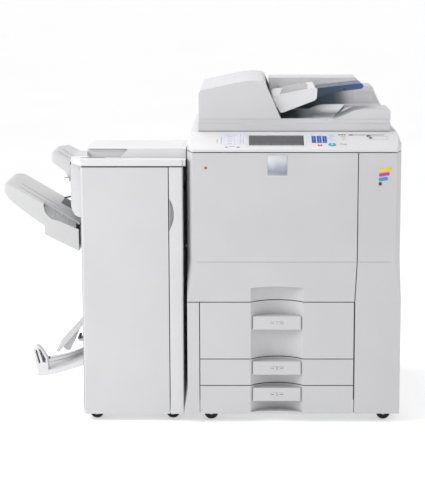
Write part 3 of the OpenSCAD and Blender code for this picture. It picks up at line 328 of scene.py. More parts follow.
def screen_glass(name, slot):
    """A liquid-crystal panel that is off: grey behind an anti-glare face, with a faint cell grid and a
    painted sheen of soft lighter patches.
    """
    s = Shader(name, slot)
    grid = {"Vector": s.coords, "Scale": 900.0, "Mortar Size": 0.06, "Mortar": (0.045, 0.045, 0.052, 1),
            "Color1": (0.040, 0.042, 0.050, 1), "Color2": (0.046, 0.048, 0.056, 1)}
    cells = s.node("ShaderNodeTexBrick", grid).outputs[0]
    # painted sheen: soft patches of lighter grey over the dark cells
    painted_sheen = s.mix(s.remap(s.noise(4.0, 2.0), 0.0, 0.6), cells, (0.10, 0.10, 0.115, 1))
    s.set(Base_Color=painted_sheen, Roughness=s.remap(s.noise(90.0), 0.30, 0.40), Coat_Weight=0.2,
          Coat_Roughness=0.15)


def graded_plastic(name, slot, axis, stops, rough=0.4, coat=0.0):
    """Moulded plastic whose tone runs along an axis through stops of (metres, colour)."""
    s = Shader(name, slot)
    along = s.node("ShaderNodeSeparateXYZ", {0: s.coords}).outputs[axis]
    shift = s.remap(s.noise(9.0), -0.006, 0.006)
    wavy = s.node("ShaderNodeMath", {0: along, 1: shift}, operation="ADD").outputs[0]
    tint = (*stops[0][1], 1.0)
    for (low, _), (high, colour) in zip(stops, stops[1:]):
        tint = s.mix(s.remap(wavy, 0.0, 1.0, low, high), tint, (*colour, 1.0))
    s.set(Base_Color=tint, Roughness=s.remap(s.noise(30.0, 4.0), rough - 0.05, rough + 0.05),
          Normal=s.bump(s.noise(1200.0, 2.0), 0.04 * MM, s.rounded(1.0 * MM)[0]), Coat_Weight=coat,
          Coat_Roughness=0.1)


WARM_WHITE = (0.600, 0.597, 0.610)
# a lighter copy of the warm white, for upward faces: painted light
TOP_WHITE_PAINTED_LIGHT = (0.705, 0.703, 0.718)
moulded_plastic("cover plastic", "outer_cover", WARM_WHITE)
moulded_plastic("top plastic with painted light", "top_cover", TOP_WHITE_PAINTED_LIGHT, rough=0.42, wear_and_highlight=0.2)
moulded_plastic("feeder plastic", "outer_cover", (0.640, 0.637, 0.655))
# a lighter copy of the feeder plastic for the document table's upper face: painted light
moulded_plastic("table plastic with painted light", "top_cover", (0.715, 0.713, 0.725), rough=0.4)
moulded_plastic("finisher plastic", "outer_cover", (0.625, 0.623, 0.633))
# a lighter copy of the finisher plastic for upward faces, and for a highlight line on the feeder's ledge:
# painted light
moulded_plastic("finisher top", "top_cover", (0.720, 0.720, 0.730), rough=0.42)
moulded_plastic("tray side plastic", "outer_cover", (0.600, 0.600, 0.605))
moulded_plastic("booklet plastic", "outer_cover", (0.720, 0.720, 0.735))
moulded_plastic("column plastic", "outer_cover", (0.690, 0.688, 0.700))
moulded_plastic("grip plastic", "top_cover", (0.610, 0.607, 0.622), rough=0.38, wear_and_highlight=0.5)
moulded_plastic("tray plastic", "outer_cover", (0.605, 0.602, 0.617), rough=0.5, grain=0.09)
moulded_plastic("inner plastic", "inner_cover", (0.50, 0.51, 0.53), rough=0.5, grain=0.1, dust_and_shade=0.5)
moulded_plastic("black plastic", "black_plastic", (0.022, 0.022, 0.024), rough=0.42, grain=0.08, wear_and_highlight=0.9)
moulded_plastic("green plastic", "inner_cover", (0.05, 0.32, 0.17), rough=0.4)
# also laid as a dark patch on the shift tray near its root, where it is painted shade
moulded_plastic("housing plastic and painted shade", "laser_housing", (0.09, 0.095, 0.105), rough=0.5)
moulded_plastic("pad foil", "top_cover", (0.86, 0.86, 0.86), rough=0.35, grain=0.02, dust_and_shade=0.1)
plated_steel("zinc steel", "steel_frame", (0.50, 0.51, 0.52))
plated_steel("folded sheet", "controller_box", (0.56, 0.57, 0.58), rough=0.3)
brushed_metal("bright metal", "steel_frame", (0.62, 0.62, 0.64))
brushed_metal("badge metal", "top_cover", (0.66, 0.70, 0.78), rough=0.34)
rubber("tyre rubber", "tyre", (0.014, 0.014, 0.015))
rubber("roller rubber", "roller_rubber", (0.03, 0.03, 0.032), rough=0.6)
# also drawn as black strips in gaps and under lips, where it is painted shade
rubber("seal rubber and painted gap shade", "roller_rubber", (0.02, 0.02, 0.021), rough=0.75)
rubber("belt film", "belt", (0.018, 0.015, 0.013), rough=0.3)
clear_glass("platen glass", "platen_glass")
screen_glass("screen", "display")
glossy_plastic("number key blue", "number_key", (0.045, 0.115, 0.47))
glossy_plastic("function key", "function_key", (0.70, 0.73, 0.82), rough=0.35)
glossy_plastic("start teal", "start_key", (0.07, 0.45, 0.47))
glossy_plastic("stop red", "stop_key", (0.62, 0.07, 0.08))
glossy_plastic("zone tint", "function_key", (0.665, 0.690, 0.790), rough=0.4, coat=0.1)
# also drawn as the vents on the back and side, where it is painted shade
glossy_plastic("dark print and painted vent shade", "black_plastic", (0.05, 0.05, 0.055), rough=0.45, coat=0.1)
glossy_plastic("grey print", "inner_cover", (0.33, 0.33, 0.35), rough=0.45, coat=0.1)
glossy_plastic("white print", "top_cover", (0.80, 0.80, 0.82), rough=0.4, coat=0.1)
# painted shadow: a dark plate where the console's shallow slot is
glossy_plastic("painted shadow", "black_plastic", (0.17, 0.17, 0.18), rough=0.5, coat=0.1)
glossy_plastic("screen print", "display", (0.125, 0.128, 0.142), rough=0.35, coat=0.1)
glossy_plastic("red print", "stop_key", (0.55, 0.05, 0.06), rough=0.4, coat=0.2)
glossy_plastic("green lamp", "start_key", (0.10, 0.65, 0.25), glow=0.5)
TONER_COLOURS = {"cyan": (0.02, 0.30, 0.62), "magenta": (0.62, 0.04, 0.26), "yellow": (0.80, 0.62, 0.03),
                 "black": (0.03, 0.03, 0.032)}
for ink, ink_colour in TONER_COLOURS.items():
    glossy_plastic(ink + " ink", "toner", ink_colour, rough=0.35)
glossy_plastic("bottle plastic", "toner", (0.42, 0.42, 0.44), rough=0.4, coat=0.1)
# darker copies of the cover plastic for creases, seams, recesses, ribs, a catch and lines: painted shade
moulded_plastic("painted crease shade plastic", "outer_cover", (0.47, 0.467, 0.477))
moulded_plastic("painted shade plastic", "outer_cover", (0.30, 0.302, 0.31))
moulded_plastic("scoop painted shade plastic", "outer_cover", (0.40, 0.405, 0.415))


# ---------------------------------------------------------------- places on the machine

MIDDLE_X = (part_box("left_cover")[0].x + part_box("right_cover")[1].x) / 2
FRONT_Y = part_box("front_door")[0].y
CONSOLE_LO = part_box("control_panel")[0]
LIP_Z = CONSOLE_LO.z + 8 * MM  # the lip below the console's slope is 8 mm high
CONSOLE_SLOPE = atan2(48, 150)  # it rises 48 mm in 150 mm
BAND_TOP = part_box("feeder_base")[0].z + 43 * MM  # top of the low band round the feeder's foot
CORNERS = ("front_left", "front_right", "rear_left", "rear_right")


def at(x, y, z):
    """A point given in mm: x from the middle of the copier body, y behind its front, z above the floor."""
    return Vector((MIDDLE_X + x * MM, FRONT_Y + y * MM, z * MM))


def on_console(u, v, height=0.0):
    """Places a flat drawing on the sloped console: u across, v up the slope, height out of it, all in mm."""
    origin = Matrix.Translation((MIDDLE_X, CONSOLE_LO.y, LIP_Z))
    return origin @ Matrix.Rotation(CONSOLE_SLOPE, 4, "X") @ Matrix.Translation((u * MM, v * MM, height * MM))


def plate(bm, width, height, depth, radius, matrix, bevel=0.0):
    """A flat plate in mm with round corners, its back on the plane of matrix and its front towards +Z."""
    outline = [(u * MM, v * MM) for u, v in rounded_outline(width, height, radius)]
    add_prism(bm, outline, depth * MM, matrix, bevel * MM)


def bar(bm, lo, hi, radius):
    """A box in the machine's mm between two corners, with rounded edges."""
    add_box(bm, at(*lo), at(*hi), radius * MM)


def bars(name, material, body, *boxes):
    """A piece made of boxes, each with its two corners and the radius of its edges."""
    bm = bmesh.new()
    for lo, hi, radius in boxes:
        bar(bm, lo, hi, radius)
    new_piece(name, bm, material, body)


def pin(bm, centre, axis, profile, sides=24):
    """A turned shape in mm about axis, from a centre in the machine's mm."""
    add_lathe(bm, [(r * MM, h * MM) for r, h in profile], rod_matrix(axis, at(*centre)), sides)


def figure(text, size, matrix, name, body, material):
    """A plain digit or sign as a raised print, size mm high and 0.3 mm thick."""
    curve = bpy.data.curves.new(name, "FONT")
    curve.body = text
    curve.size = size * MM * 1.4
    curve.extrude = 0.15 * MM
    curve.align_x = "CENTER"
    curve.align_y = "CENTER"
    curve.resolution_u = 3
    holder = bpy.data.objects.new(name + "_curve", curve)
    mesh = bpy.data.meshes.new_from_object(holder)
    bpy.data.objects.remove(holder)
    bpy.data.curves.remove(curve)
    bm = bmesh.new()
    bm.from_mesh(mesh)
    bpy.data.meshes.remove(mesh)
    bmesh.ops.remove_doubles(bm, verts=bm.verts, dist=0.00001)
    new_piece(name, bm, material, body, smooth=False, matrix=matrix)


def pin_on_console(bm, u, v, radius, height=0.8):
    """A small round cap on the console, in mm."""
    profile = [(0, height), (radius * 0.8, height), (radius, height * 0.5), (radius, 0), (0, 0)]
    add_lathe(bm, [(r * MM, h * MM) for r, h in profile], on_console(u, v), 20)


def ruled(bm, row_a, row_b, drop=(0, 0, -1.0)):
    """A closed sheet between two rows of points in the machine's mm, thickened by drop."""
    lift = Vector(drop) * MM
    rows = [[bm.verts.new(at(*p)) for p in row] for row in (row_a, row_b)]
    rows += [[bm.verts.new(at(*p) + lift) for p in row] for row in (row_b, row_a)]
    for a, b in zip(rows, rows[1:] + rows[:1]):
        for i in range(len(a) - 1):
            bm.faces.new((a[i], a[i + 1], b[i + 1], b[i]))
    for i in (0, -1):
        bm.faces.new([row[i] for row in rows])


def groove(bm, points, normal, width, height):
    """A fine line laid over a surface through points in the machine's mm."""
    for a, b in zip(points, points[1:]):
        start, end = at(*a), at(*b)
        along = (end - start).normalized()
        side = along.cross(Vector(normal)).normalized() * width * MM / 2
        up = Vector(normal).normalized() * height * MM
        low = [start - side, start + side, end + side, end - side]
        ring = [bm.verts.new(p) for p in low] + [bm.verts.new(p + up) for p in low]
        for face in ((3, 2, 1, 0), (4, 5, 6, 7), (0, 1, 5, 4), (1, 2, 6, 5), (2, 3, 7, 6), (3, 0, 4, 7)):
            bm.faces.new([ring[k] for k in face])


def lines(name, material, body, normal, width, height, *paths):
    """A piece made of fine lines over a surface."""
    bm = bmesh.new()
    for points in paths:
        groove(bm, points, normal, width, height)
    new_piece(name, bm, material, body)


def zone_sheet(bm, across, up, holes, height=0.3):
    """A thin tinted sheet on the console, across by up in mm, with an opening round each key."""
    us = sorted(set(across) | {u for hole in holes for u in hole[:2]})
    vs = sorted(set(up) | {v for hole in holes for v in hole[2:]})
    grid = {(u, v): bm.verts.new((u * MM, v * MM, height * MM)) for u in us for v in vs}
    made = []
    for ua, ub in zip(us, us[1:]):
        for va, vb in zip(vs, vs[1:]):
            middle = ((ua + ub) / 2, (va + vb) / 2)
            if not any(h[0] < middle[0] < h[1] and h[2] < middle[1] < h[3] for h in holes):
                made.append(bm.faces.new([grid[ua, va], grid[ub, va], grid[ub, vb], grid[ua, vb]]))
    bmesh.ops.delete(bm, geom=[v for v in grid.values() if not v.link_faces], context="VERTS")
    skirt = bmesh.ops.extrude_face_region(bm, geom=made)["geom"]
    low = {v for v in skirt if isinstance(v, bmesh.types.BMVert)}
    bmesh.ops.translate(bm, vec=(0, 0, -height * MM), verts=list(low))
    near = low | {v for v in grid.values() if v.is_valid}
    bmesh.ops.transform(bm, matrix=on_console(0, 0), verts=list(near))


# ---------------------------------------------------------------- the CAD nodes

HARD_ANGLE = 46  # degrees at which a CAD node's shading breaks
ROUNDED_ANGLE = 28  # degrees from which an edge is rounded


def crease_group():
    """A node group that leaves every edge sharper than HARD_ANGLE with a hard shading break."""
    group = bpy.data.node_groups.new("hard_edges", "GeometryNodeTree")
    group.interface.new_socket("Geometry", in_out="INPUT", socket_type="NodeSocketGeometry")
    group.interface.new_socket("Geometry", in_out="OUTPUT", socket_type="NodeSocketGeometry")
    start, end = group.nodes.new("NodeGroupInput"), group.nodes.new("NodeGroupOutput")
    smooth = group.nodes.new("GeometryNodeSetShadeSmooth")
    smooth.domain = "EDGE"
    smooth.inputs["Shade Smooth"].default_value = False
    slope = group.nodes.new("GeometryNodeInputMeshEdgeAngle")
    steep = group.nodes.new("FunctionNodeCompare")
    steep.operation = "GREATER_THAN"
    steep.inputs["B"].default_value = radians(HARD_ANGLE)
    for a, b in ((slope.outputs["Unsigned Angle"], steep.inputs["A"]),
                 (steep.outputs["Result"], smooth.inputs["Selection"]),
                 (start.outputs[0], smooth.inputs["Geometry"]), (smooth.outputs[0], end.inputs[0])):
        group.links.new(a, b)
    return group


HARD_EDGES = crease_group()


def finish_node(name, material, bevel):
    """Gives a CAD node its material and, where bevel is above 0 mm, moulded edges of that radius."""
    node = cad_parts[name]
    node.data.materials.clear()
    node.data.materials.append(MATERIALS[material])
    weld = node.modifiers.new("weld", "WELD")
    weld.merge_threshold = 0.00001
    flat = node.modifiers.new("flat faces", "DECIMATE")
    flat.decimate_type = "DISSOLVE"
    flat.angle_limit = radians(0.5)
    if bevel > 0:
        edge = node.modifiers.new("moulded edges", "BEVEL")
        edge.width = bevel * MM
        edge.segments = BEVEL_STEPS
        edge.limit_method = "ANGLE"
        edge.angle_limit = radians(ROUNDED_ANGLE)
        edge.use_clamp_overlap = False
    node.data.shade_smooth()
    hard = node.modifiers.new("hard edges", "NODES")
    hard.node_group = HARD_EDGES
    even = node.modifiers.new("even shading", "WEIGHTED_NORMAL")
    even.keep_sharp = True


NODE_FINISH = (  # material, radius of the moulded edges in mm, nodes
    ("zinc steel", 0, "main_frame feeder_hinges finisher_frame"),
    ("zinc steel", 0.6, "finisher_caster_forks"),
    ("cover plastic", 0, "left_cover right_cover rear_cover front_door side_door bypass_tray"),
    ("cover plastic", 0, "front_fence rear_fence"),
    ("top plastic with painted light", 0.6, "control_panel"),
    ("top plastic with painted light", 0.8, "upper_deck"),
    ("platen glass", 0, "platen_glass"),
    ("screen", 0.4, "touch_screen"),
    ("inner plastic", 0, "inner_cover"),
    ("tray plastic", 0, "tray_1 tray_2 tray_3"),
    ("grip plastic", 0.8, "tray_1_handle tray_2_handle tray_3_handle"),
    ("black plastic", 0, "scan_carriage fuser_unit"),
    ("black plastic", 0.6, "sensor_arm"),
    ("black plastic", 0.8, "drum_cartridges stapler"),
    ("bottle plastic", 1.2, "toner_bottles"),
    ("belt film", 0, "transfer_belt"),
    ("housing plastic and painted shade", 1.5, "laser_unit"),
    ("folded sheet", 0.8, "controller_box"),
    ("number key blue", 1.2, "number_keys"),
    ("function key", 1.0, "function_keys"),
    ("start teal", 1.2, "start_key"),
    ("stop red", 1.2, "stop_key"),
    ("feeder plastic", 0, "feeder_base feeder_cover"),
    ("table plastic with painted light", 0, "document_table"),
    ("blue plastic with painted shade", 0, "table_extension"),
    ("roller rubber", 0.6, "feed_roller exit_rollers"),
    ("pad foil", 0, "platen_pad"),
    ("column plastic", 0, "finisher_cover"),
    ("finisher top", 0, "finisher_top"),
    ("finisher plastic", 0.6, "finisher_door"),
    ("finisher plastic", 0, "upper_tray booklet_flap"),
    ("tray side plastic", 0, "shift_tray"),
    ("booklet plastic", 0, "booklet_tray"),
    ("tyre rubber", 1.2, "finisher_left_wheels finisher_right_wheels"),
)


def make_graded():
    """Plastics whose tone runs across the machine as painted shade and painted light, and the badge's, which
    runs up it.
    """
    def across(*stops):
        return [(MIDDLE_X + x * MM, colour) for x, colour in stops]

    # painted shade: the blue extension darkens towards its root on the left
    graded_plastic("blue plastic with painted shade", "blue_plastic", 0, across(
        (70, (0.014, 0.026, 0.045)), (130, (0.020, 0.042, 0.080)), (190, (0.030, 0.060, 0.145)),
        (236, (0.028, 0.070, 0.24))), rough=0.3, coat=0.12)
    # painted shade: near black at the root of the exit well, grey towards the right
    graded_plastic("valley painted shade", "outer_cover", 0, across(
        (-40, (0.006, 0.009, 0.014)), (70, (0.018, 0.034, 0.056)), (160, (0.050, 0.078, 0.110)),
        (186, (0.14, 0.155, 0.175)), (225, (0.56, 0.56, 0.58))))
    # painted shade near black at the exit tray's root, and painted light where it turns paler than its
    # plastic to the right
    graded_plastic("exit tray painted shade and light", "outer_cover", 0, across(
        (-36, (0.008, 0.012, 0.020)), (10, (0.035, 0.060, 0.088)), (52, (0.46, 0.54, 0.60)),
        (100, (0.80, 0.80, 0.82))))
    graded_plastic("badge tint", "top_cover", 2, [
        (0.880, (0.40, 0.42, 0.47)), (0.897, (0.25, 0.28, 0.34)), (0.922, (0.40, 0.43, 0.50)),
        (0.942, (0.66, 0.66, 0.69))], rough=0.3, coat=0.1)


make_graded()
for finish, edge_radius, names in NODE_FINISH:
    for node_name in names.split():
        finish_node(node_name, finish, edge_radius)
for corner in CORNERS:
    finish_node("caster_fork_" + corner, "zinc steel", 0.6)
    finish_node("caster_wheel_" + corner, "tyre rubber", 1.2)


# ---------------------------------------------------------------- console fittings

KEY_PITCH = (19, 15)  # between the number keys, across and up
FUNCTION_PITCH = 19  # between the function keys, up


def key_zones():
    """Tinted zones round the keys."""
    bm = bmesh.new()
    columns = [(60.5 + c * KEY_PITCH[0], 76.5 + c * KEY_PITCH[0]) for c in range(3)]
    rows = [(58.5 + r * KEY_PITCH[1], 69.5 + r * KEY_PITCH[1]) for r in range(4)]
    zone_sheet(bm, (46, 150), (53, 138), [column + row for column in columns for row in rows])
    rows = [(45.5 + r * FUNCTION_PITCH, 58.5 + r * FUNCTION_PITCH) for r in range(4)]
    zone_sheet(bm, (-252, -168), (42, 138), [(-242.5, -207.5) + row for row in rows])
    new_piece("key_zones", bm, "zone tint", "copier")


def screen_fittings():
    """The frame round the screen, and the screen's own blank layout: a head line, lines and soft buttons."""
    bm = bmesh.new()
    for u, v, w, h in ((-62, 131.5, 208, 7), (-62, 31, 208, 8), (-164.5, 81, 5, 96), (40.5, 81, 5, 96)):
        plate(bm, w, h, 1.1, 2, on_console(u, v, -0.2), 0.5)
    new_piece("screen_bezel", bm, "top plastic with painted light", "copier")
    bm = bmesh.new()
    plate(bm, 186, 6, 0.2, 1.0, on_console(-62, 120, -1.6))
    for column in range(5):
        plate(bm, 30, 9, 0.2, 2, on_console(-136 + column * 37, 50, -1.6))
    for row in range(3):
        plate(bm, 180, 0.8, 0.2, 0.3, on_console(-62, 106 - row * 14, -1.6))
    new_piece("screen_layout", bm, "screen print", "copier")


def key_signs():
    """Digits and signs on the number keys, and plain signs on the start, stop and function keys."""
    for index, sign in enumerate("123456789*0#"):
        column, row = index % 3, 3 - index // 3
        place = on_console(68.5 + column * KEY_PITCH[0], 64 + row * KEY_PITCH[1], 2.95)
        figure(sign, 5.5, place, "key_sign_%02d" % index, "number_keys", "white print")
    bm = bmesh.new()
    plate(bm, 3, 12, 0.4, 1.4, on_console(131, 43, 2.0))
    plate(bm, 12, 3, 0.4, 1.4, on_console(131, 43, 2.0))
    new_piece("start_sign", bm, "white print", "start_key")
    bm = bmesh.new()
    plate(bm, 6, 6, 0.4, 1.0, on_console(88.5, 38, 1.5))
    new_piece("stop_sign", bm, "white print", "stop_key")
    bm = bmesh.new()
    for row in range(4):
        plate(bm, 16, 2.2, 0.3, 1.0, on_console(-225, 52 + row * FUNCTION_PITCH, 1.0))
    new_piece("function_key_marks", bm, "grey print", "function_keys")


def console_marks():
    """Lamps, plain printed marks, the shallow slot as a plate of painted shadow and the framed card window,
    and two small caps.
    """
    bm = bmesh.new()
    for u, v in ((-248, 52), (-248, 71), (-248, 90), (-248, 109), (146, 66)):
        pin_on_console(bm, u, v, 1.6)
    new_piece("key_lamps", bm, "green lamp", "copier")
    bm = bmesh.new()
    pin_on_console(bm, 164, 50, 2.2)
    pin_on_console(bm, -269, 62, 1.8)
    new_piece("alert_lamps", bm, "red print", "copier")
    bm = bmesh.new()
    for u, v, w, h in ((160, 128, 7, 8), (169, 128, 7, 8), (178, 128, 6, 8), (200, 127, 14, 8),
                       (-269, 74, 3, 5), (-269, 82, 3, 5), (-236, 22, 10, 5), (-196, 22, 12, 5),
                       (-216, 28, 20, 1.5), (262, 117, 13, 12), (268, 101, 12, 12)):
        plate(bm, w, h, 0.5, 1.0, on_console(u, v))
    new_piece("console_marks", bm, "dark print and painted vent shade", "copier")
    bm = bmesh.new()
    for u, v, w, h in ((172, 110, 18, 5), (174, 92, 12, 4), (170, 48, 26, 4), (176, 42, 14, 4),
                       (130, 126, 20, 4), (132, 112, 16, 3), (122, 98, 26, 2.5), (136, 84, 20, 2.5),
                       (-222, 126, 44, 3), (64, 128, 14, 3), (92, 128, 14, 3), (-255, 80, 2, 60),
                       (-188, 92, 1.2, 84), (-178, 84, 1.2, 60)):
        plate(bm, w, h, 0.35, min(w, h) * 0.4, on_console(u, v))
    new_piece("console_print", bm, "grey print", "copier")
    bm = bmesh.new()
    plate(bm, 112, 3.2, 0.4, 1.5, on_console(262, 127))
    new_piece("console_slot_shadow", bm, "painted shadow", "copier")
    bm = bmesh.new()
    for u, v, w, h in ((296, 86, 66, 1.4), (296, 116, 66, 1.4), (263, 101, 1.4, 31), (329, 101, 1.4, 31)):
        plate(bm, w, h, 0.8, 0.6, on_console(u, v), 0.3)
    new_piece("card_window_frame", bm, "cover plastic", "copier")
    bm = bmesh.new()
    for u in (-120, 120):
        pin_on_console(bm, u, 8, 2.5, 0.6)
    new_piece("console_caps", bm, "top plastic with painted light", "copier")


# ---------------------------------------------------------------- front fittings

BADGE_X, BADGE_Z = -60, 919.5
CREASE_Z = 580  # where both doors have a crease, and the side door's edge ends its slant


def door_marks():
    """A blank badge in the maker's place, a dot, four plain toner colours and the doors' crease as a line of
    painted shade.
    """
    bm = bmesh.new()
    plate(bm, 72, 75, 0.4, 4, facing(FRONT, UP, at(BADGE_X, 0, BADGE_Z)), 0.15)
    new_piece("badge_rim", bm, "badge metal", "front_door")
    bm = bmesh.new()
    plate(bm, 68, 71, 0.2, 3, facing(FRONT, UP, at(BADGE_X, -0.4, BADGE_Z)), 0.08)
    new_piece("badge_face", bm, "badge tint", "front_door")
    bm = bmesh.new()
    pin(bm, (-308, 0, 911), FRONT, [(0, 0.5), (4.2, 0.5), (5, 0.3), (5, 0), (0, 0)])
    new_piece("door_dot", bm, "red print", "front_door")
    for row, ink in enumerate(("yellow", "magenta", "cyan", "black")):
        bm = bmesh.new()
        width = (44, 38, 32, 11)[row]
        centre = at(291 + width / 2, 0, 905 - row * 16.5)
        turn = Matrix.Rotation(radians(9), 4, "Z") if row < 3 else Matrix()
        plate(bm, width, 12, 0.5, 4.5, facing(FRONT, UP, centre) @ turn, 0.2)
        new_piece("toner_mark_" + ink, bm, ink + " ink", "side_door")
    # painted shade: a darker line along each door's crease
    for name, x0, x1, body in (("front", -339, 216.5, "front_door"), ("side", 219.5, 339, "side_door")):
        lines(name + "_door_crease_shade", "painted crease shade plastic", body, FRONT, 1.8, 0.25,
              [(x0, 0, CREASE_Z), (x1, 0, CREASE_Z)])


def grip_marks():
    """A number on a small label plate and two short bars on each drawer grip."""
    for number, handle in enumerate(("tray_1_handle", "tray_2_handle", "tray_3_handle"), 1):
        lo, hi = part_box(handle)
        middle = Vector(((lo.x + hi.x) / 2, lo.y, (lo.z + hi.z) / 2))
        bm = bmesh.new()
        plate(bm, 46, 13, 0.5, 3, facing(FRONT, UP, middle), 0.2)
        new_piece("grip_label_%d" % number, bm, "grip plastic", "drawer_%d" % number)
        place = facing(FRONT, UP, middle + Vector((0, -0.6 * MM, 0)))
        figure(str(number), 9, place, "grip_number_%d" % number, "drawer_%d" % number, "dark print and painted vent shade")
        bm = bmesh.new()
        plate(bm, 12, 1.6, 0.8, 0.6, facing(FRONT, UP, middle + Vector((-0.016, 0, 0))))
        plate(bm, 12, 1.6, 0.8, 0.6, facing(FRONT, UP, middle + Vector((0.016, 0, 0))))
        new_piece("grip_marks_%d" % number, bm, "dark print and painted vent shade", "drawer_%d" % number)


def seam_seals():
    """Black strips in the gaps of the drawers, doors, console and finisher: painted shade that keeps the gaps
    dark.
    """
    scoop_x, half, radius = -59.5, 92.5, 119.3
    for number, (top, bottom) in enumerate(((435.5, 233.5), (230.5, 137.5), (134.5, 36)), 1):
        bm = bmesh.new()
        for x0, x1 in ((-328.4, scoop_x - half - 3), (scoop_x + half + 3, 211.5)):
            bar(bm, (x0, 2, top), (x1, 12, top + 2.5), 0.3)
        bar(bm, (-331.2, 2, bottom + 1), (-328.7, 12, top), 0.3)
        curve = [scoop_x + half * k / 8 for k in range(-8, 9)]
        depth = [44 - radius + (radius ** 2 - (x - scoop_x) ** 2) ** 0.5 for x in curve]
        ruled(bm, [(x, d + 0.8, top + 2.5) for x, d in zip(curve, depth)],
              [(x, d + 7, top + 2.5) for x, d in zip(curve, depth)], (0, 0, -2.4))
        new_piece("drawer_seal_%d" % number, bm, "seal rubber and painted gap shade", "drawer_%d" % number)
    bm = bmesh.new()
    edge = [(214.4, 37), (214.4, 438.5), (221.4, CREASE_Z), (221.4, 961)]
    ruled(bm, [(x, 2.5, z) for x, z in edge], [(x, 12, z) for x, z in edge], (-1.2, 0, 0))
    new_piece("side_door_gap_shade", bm, "seal rubber and painted gap shade", "side_door")
    # painted shade in the gaps under the console and the finisher's lid
    bars("console_gap_shade", "seal rubber and painted gap shade", "copier", ((-336, 4, 963.5), (336, 10, 965.7), 0.3))
    bars("finisher_lid_gap_shade", "seal rubber and painted gap shade", "finisher", ((-734, 19, 911.4), (-441, 26, 913.7), 0.3))


def dock_side():
    """The finisher's lip line as a black line of painted shade, the strip that bridges the dock gap and
    painted shade at the back of the finger recess.
    """
    lines("lip_shade_line", "seal rubber and painted gap shade", "finisher", FRONT, 4.2, 0.4, [(-740, 15, 913.3), (-390, 15, 913.3)])
    bm = bmesh.new()
    profile = [(19.5, 916), (19.5, 934), (21, 935.6), (84, 935.6), (84.8, 967.5), (88, 970.6), (250, 971.6),
               (420, 961.6), (594, 939.6), (600, 930)]
    ruled(bm, [(-392, y, z) for y, z in profile], [(-378.5, y, z) for y, z in profile], (0, 1.5, -1.5))
    new_piece("dock_bridge", bm, "finisher top", "finisher")
    bars("finger_well_shade", "painted shade plastic", "finisher", ((-436, 22.5, 680), (-414, 24.5, 812), 0.4))


def lid_gasket():
    """A black strip along the feeder's foot, in the gap between it and the deck: painted shade."""
    bars("lid_gasket", "seal rubber and painted gap shade", "feeder", ((-334, 153, 1022.3), (338, 158, 1024.1), 0.3))


def door_insides():
    """Catches and a seal inside the front door, and catches inside the side door."""
    bars("door_catches", "black plastic", "front_door",
         *[((196, 20, z), (208, 26, z + 22), 1.5) for z in (470, 700, 930)])
    bars("door_seal", "seal rubber and painted gap shade", "front_door",
         ((-318, 20, 951), (180, 23, 956), 1.2),
         ((-318, 20, 500), (-314, 23, 951), 1.0))
    bars("side_door_catches", "black plastic", "side_door",
         *[((222, 20, z), (234, 26, z + 20), 1.5) for z in (430, 930)])


# ---------------------------------------------------------------- feeder fittings

def feeder_fittings():
    """Ribs, guide, sensors, a well and an exit tray sheet painted with shade and light, panel lines of
    painted shade, a painted highlight on the ledge and buffers of the document feeder.
    """
    z0 = BAND_TOP / MM
    # two ribs on the opening cover
    bars("cover_ribs", "feeder plastic", "feeder_cover",
         *[((-304, y, z0 + 103), (-298, y + 60, z0 + 106.5), 1.2) for y in (300, 560)])
    # a guide plate, the separation pad and a sensor under the cover
    bars("feed_guides", "inner plastic", "feeder", ((-110, 250, z0 + 30), (-101, 552, z0 + 56), 2))
    bm = bmesh.new()
    bar(bm, (-108, 300, z0 + 60), (-94, 500, z0 + 66), 1.5)
    pin(bm, (-20, 560, z0 + 96), FRONT, [(0, 3), (3.4, 3), (4, 2), (4, -1)])
    new_piece("feed_sensors", bm, "black plastic", "feeder")
    # painted shade: a dark sheet on the wall behind the exit tray; and a sheet on the tray's floor, painted
    # dark at its root as shade and paler than its plastic further right as painted light
    bm = bmesh.new()
    outline = [(-55, -10), (60, -6), (104, 12), (236, 16), (236, 84), (-50, 84)]
    add_prism(bm, [(x * MM, z * MM) for x, z in reversed(outline)], 1.2 * MM,
              facing(FRONT, UP, at(0, 559.9, z0)))
    new_piece("exit_well_painted_shade", bm, "valley painted shade", "feeder")
    front = [(-43, 0), (-15, 0), (20, 0), (42, 0), (66, 0), (84, 0), (104, 0), (122, 0), (138, 0)]
    rear = [(-43, 0), (-15, 0), (20, 0), (44, 0), (66, 1), (84, 8), (104, 14), (130, 17), (200, 18.5)]
    bm = bmesh.new()
    ruled(bm, [(x, 170, z0 + z + 0.9) for x, z in front], [(x, 519, z0 + z + 0.9) for x, z in rear])
    new_piece("exit_tray_painted_sheet", bm, "exit tray painted shade and light", "feeder")
    # panel lines on the rear housing in painted crease shade, and a painted highlight along the edge of the
    # exit tray's ledge
    bm = bmesh.new()
    groove(bm, [(250, 560, z0 + 62), (306, 560, z0 + 62), (318, 560, z0 + 34)], FRONT, 1.5, 0.6)
    groove(bm, [(104, 560, z0 + 90), (256, 560, z0 + 90)], FRONT, 1.2, 0.6)
    new_piece("housing_shade_lines", bm, "painted crease shade plastic", "feeder")
    bm = bmesh.new()
    edge = [(140, 0.6), (163, 6.6), (191, 18.6), (214, 28.6), (245, 34.1), (277, 35.6), (330, 36.1)]
    groove(bm, [(x, 152.5, z0 + z) for x, z in edge], UP, 1.6, 0.3)
    new_piece("ledge_painted_highlight", bm, "finisher top", "feeder")
    # rubber buffers under the lid
    bm = bmesh.new()
    for x in (-318, 322):
        for y in (180, 700):
            pin(bm, (x, y, z0 - 43), DOWN, [(0, 1.6), (5, 1.6), (6, 1.0), (6, 0), (0, 0)])
    new_piece("lid_buffers", bm, "seal rubber and painted gap shade", "feeder")


# ---------------------------------------------------------------- finisher fittings

OUT_OF_TRAY = (0.5, 0, 0.86)  # square to the catch trays' slope


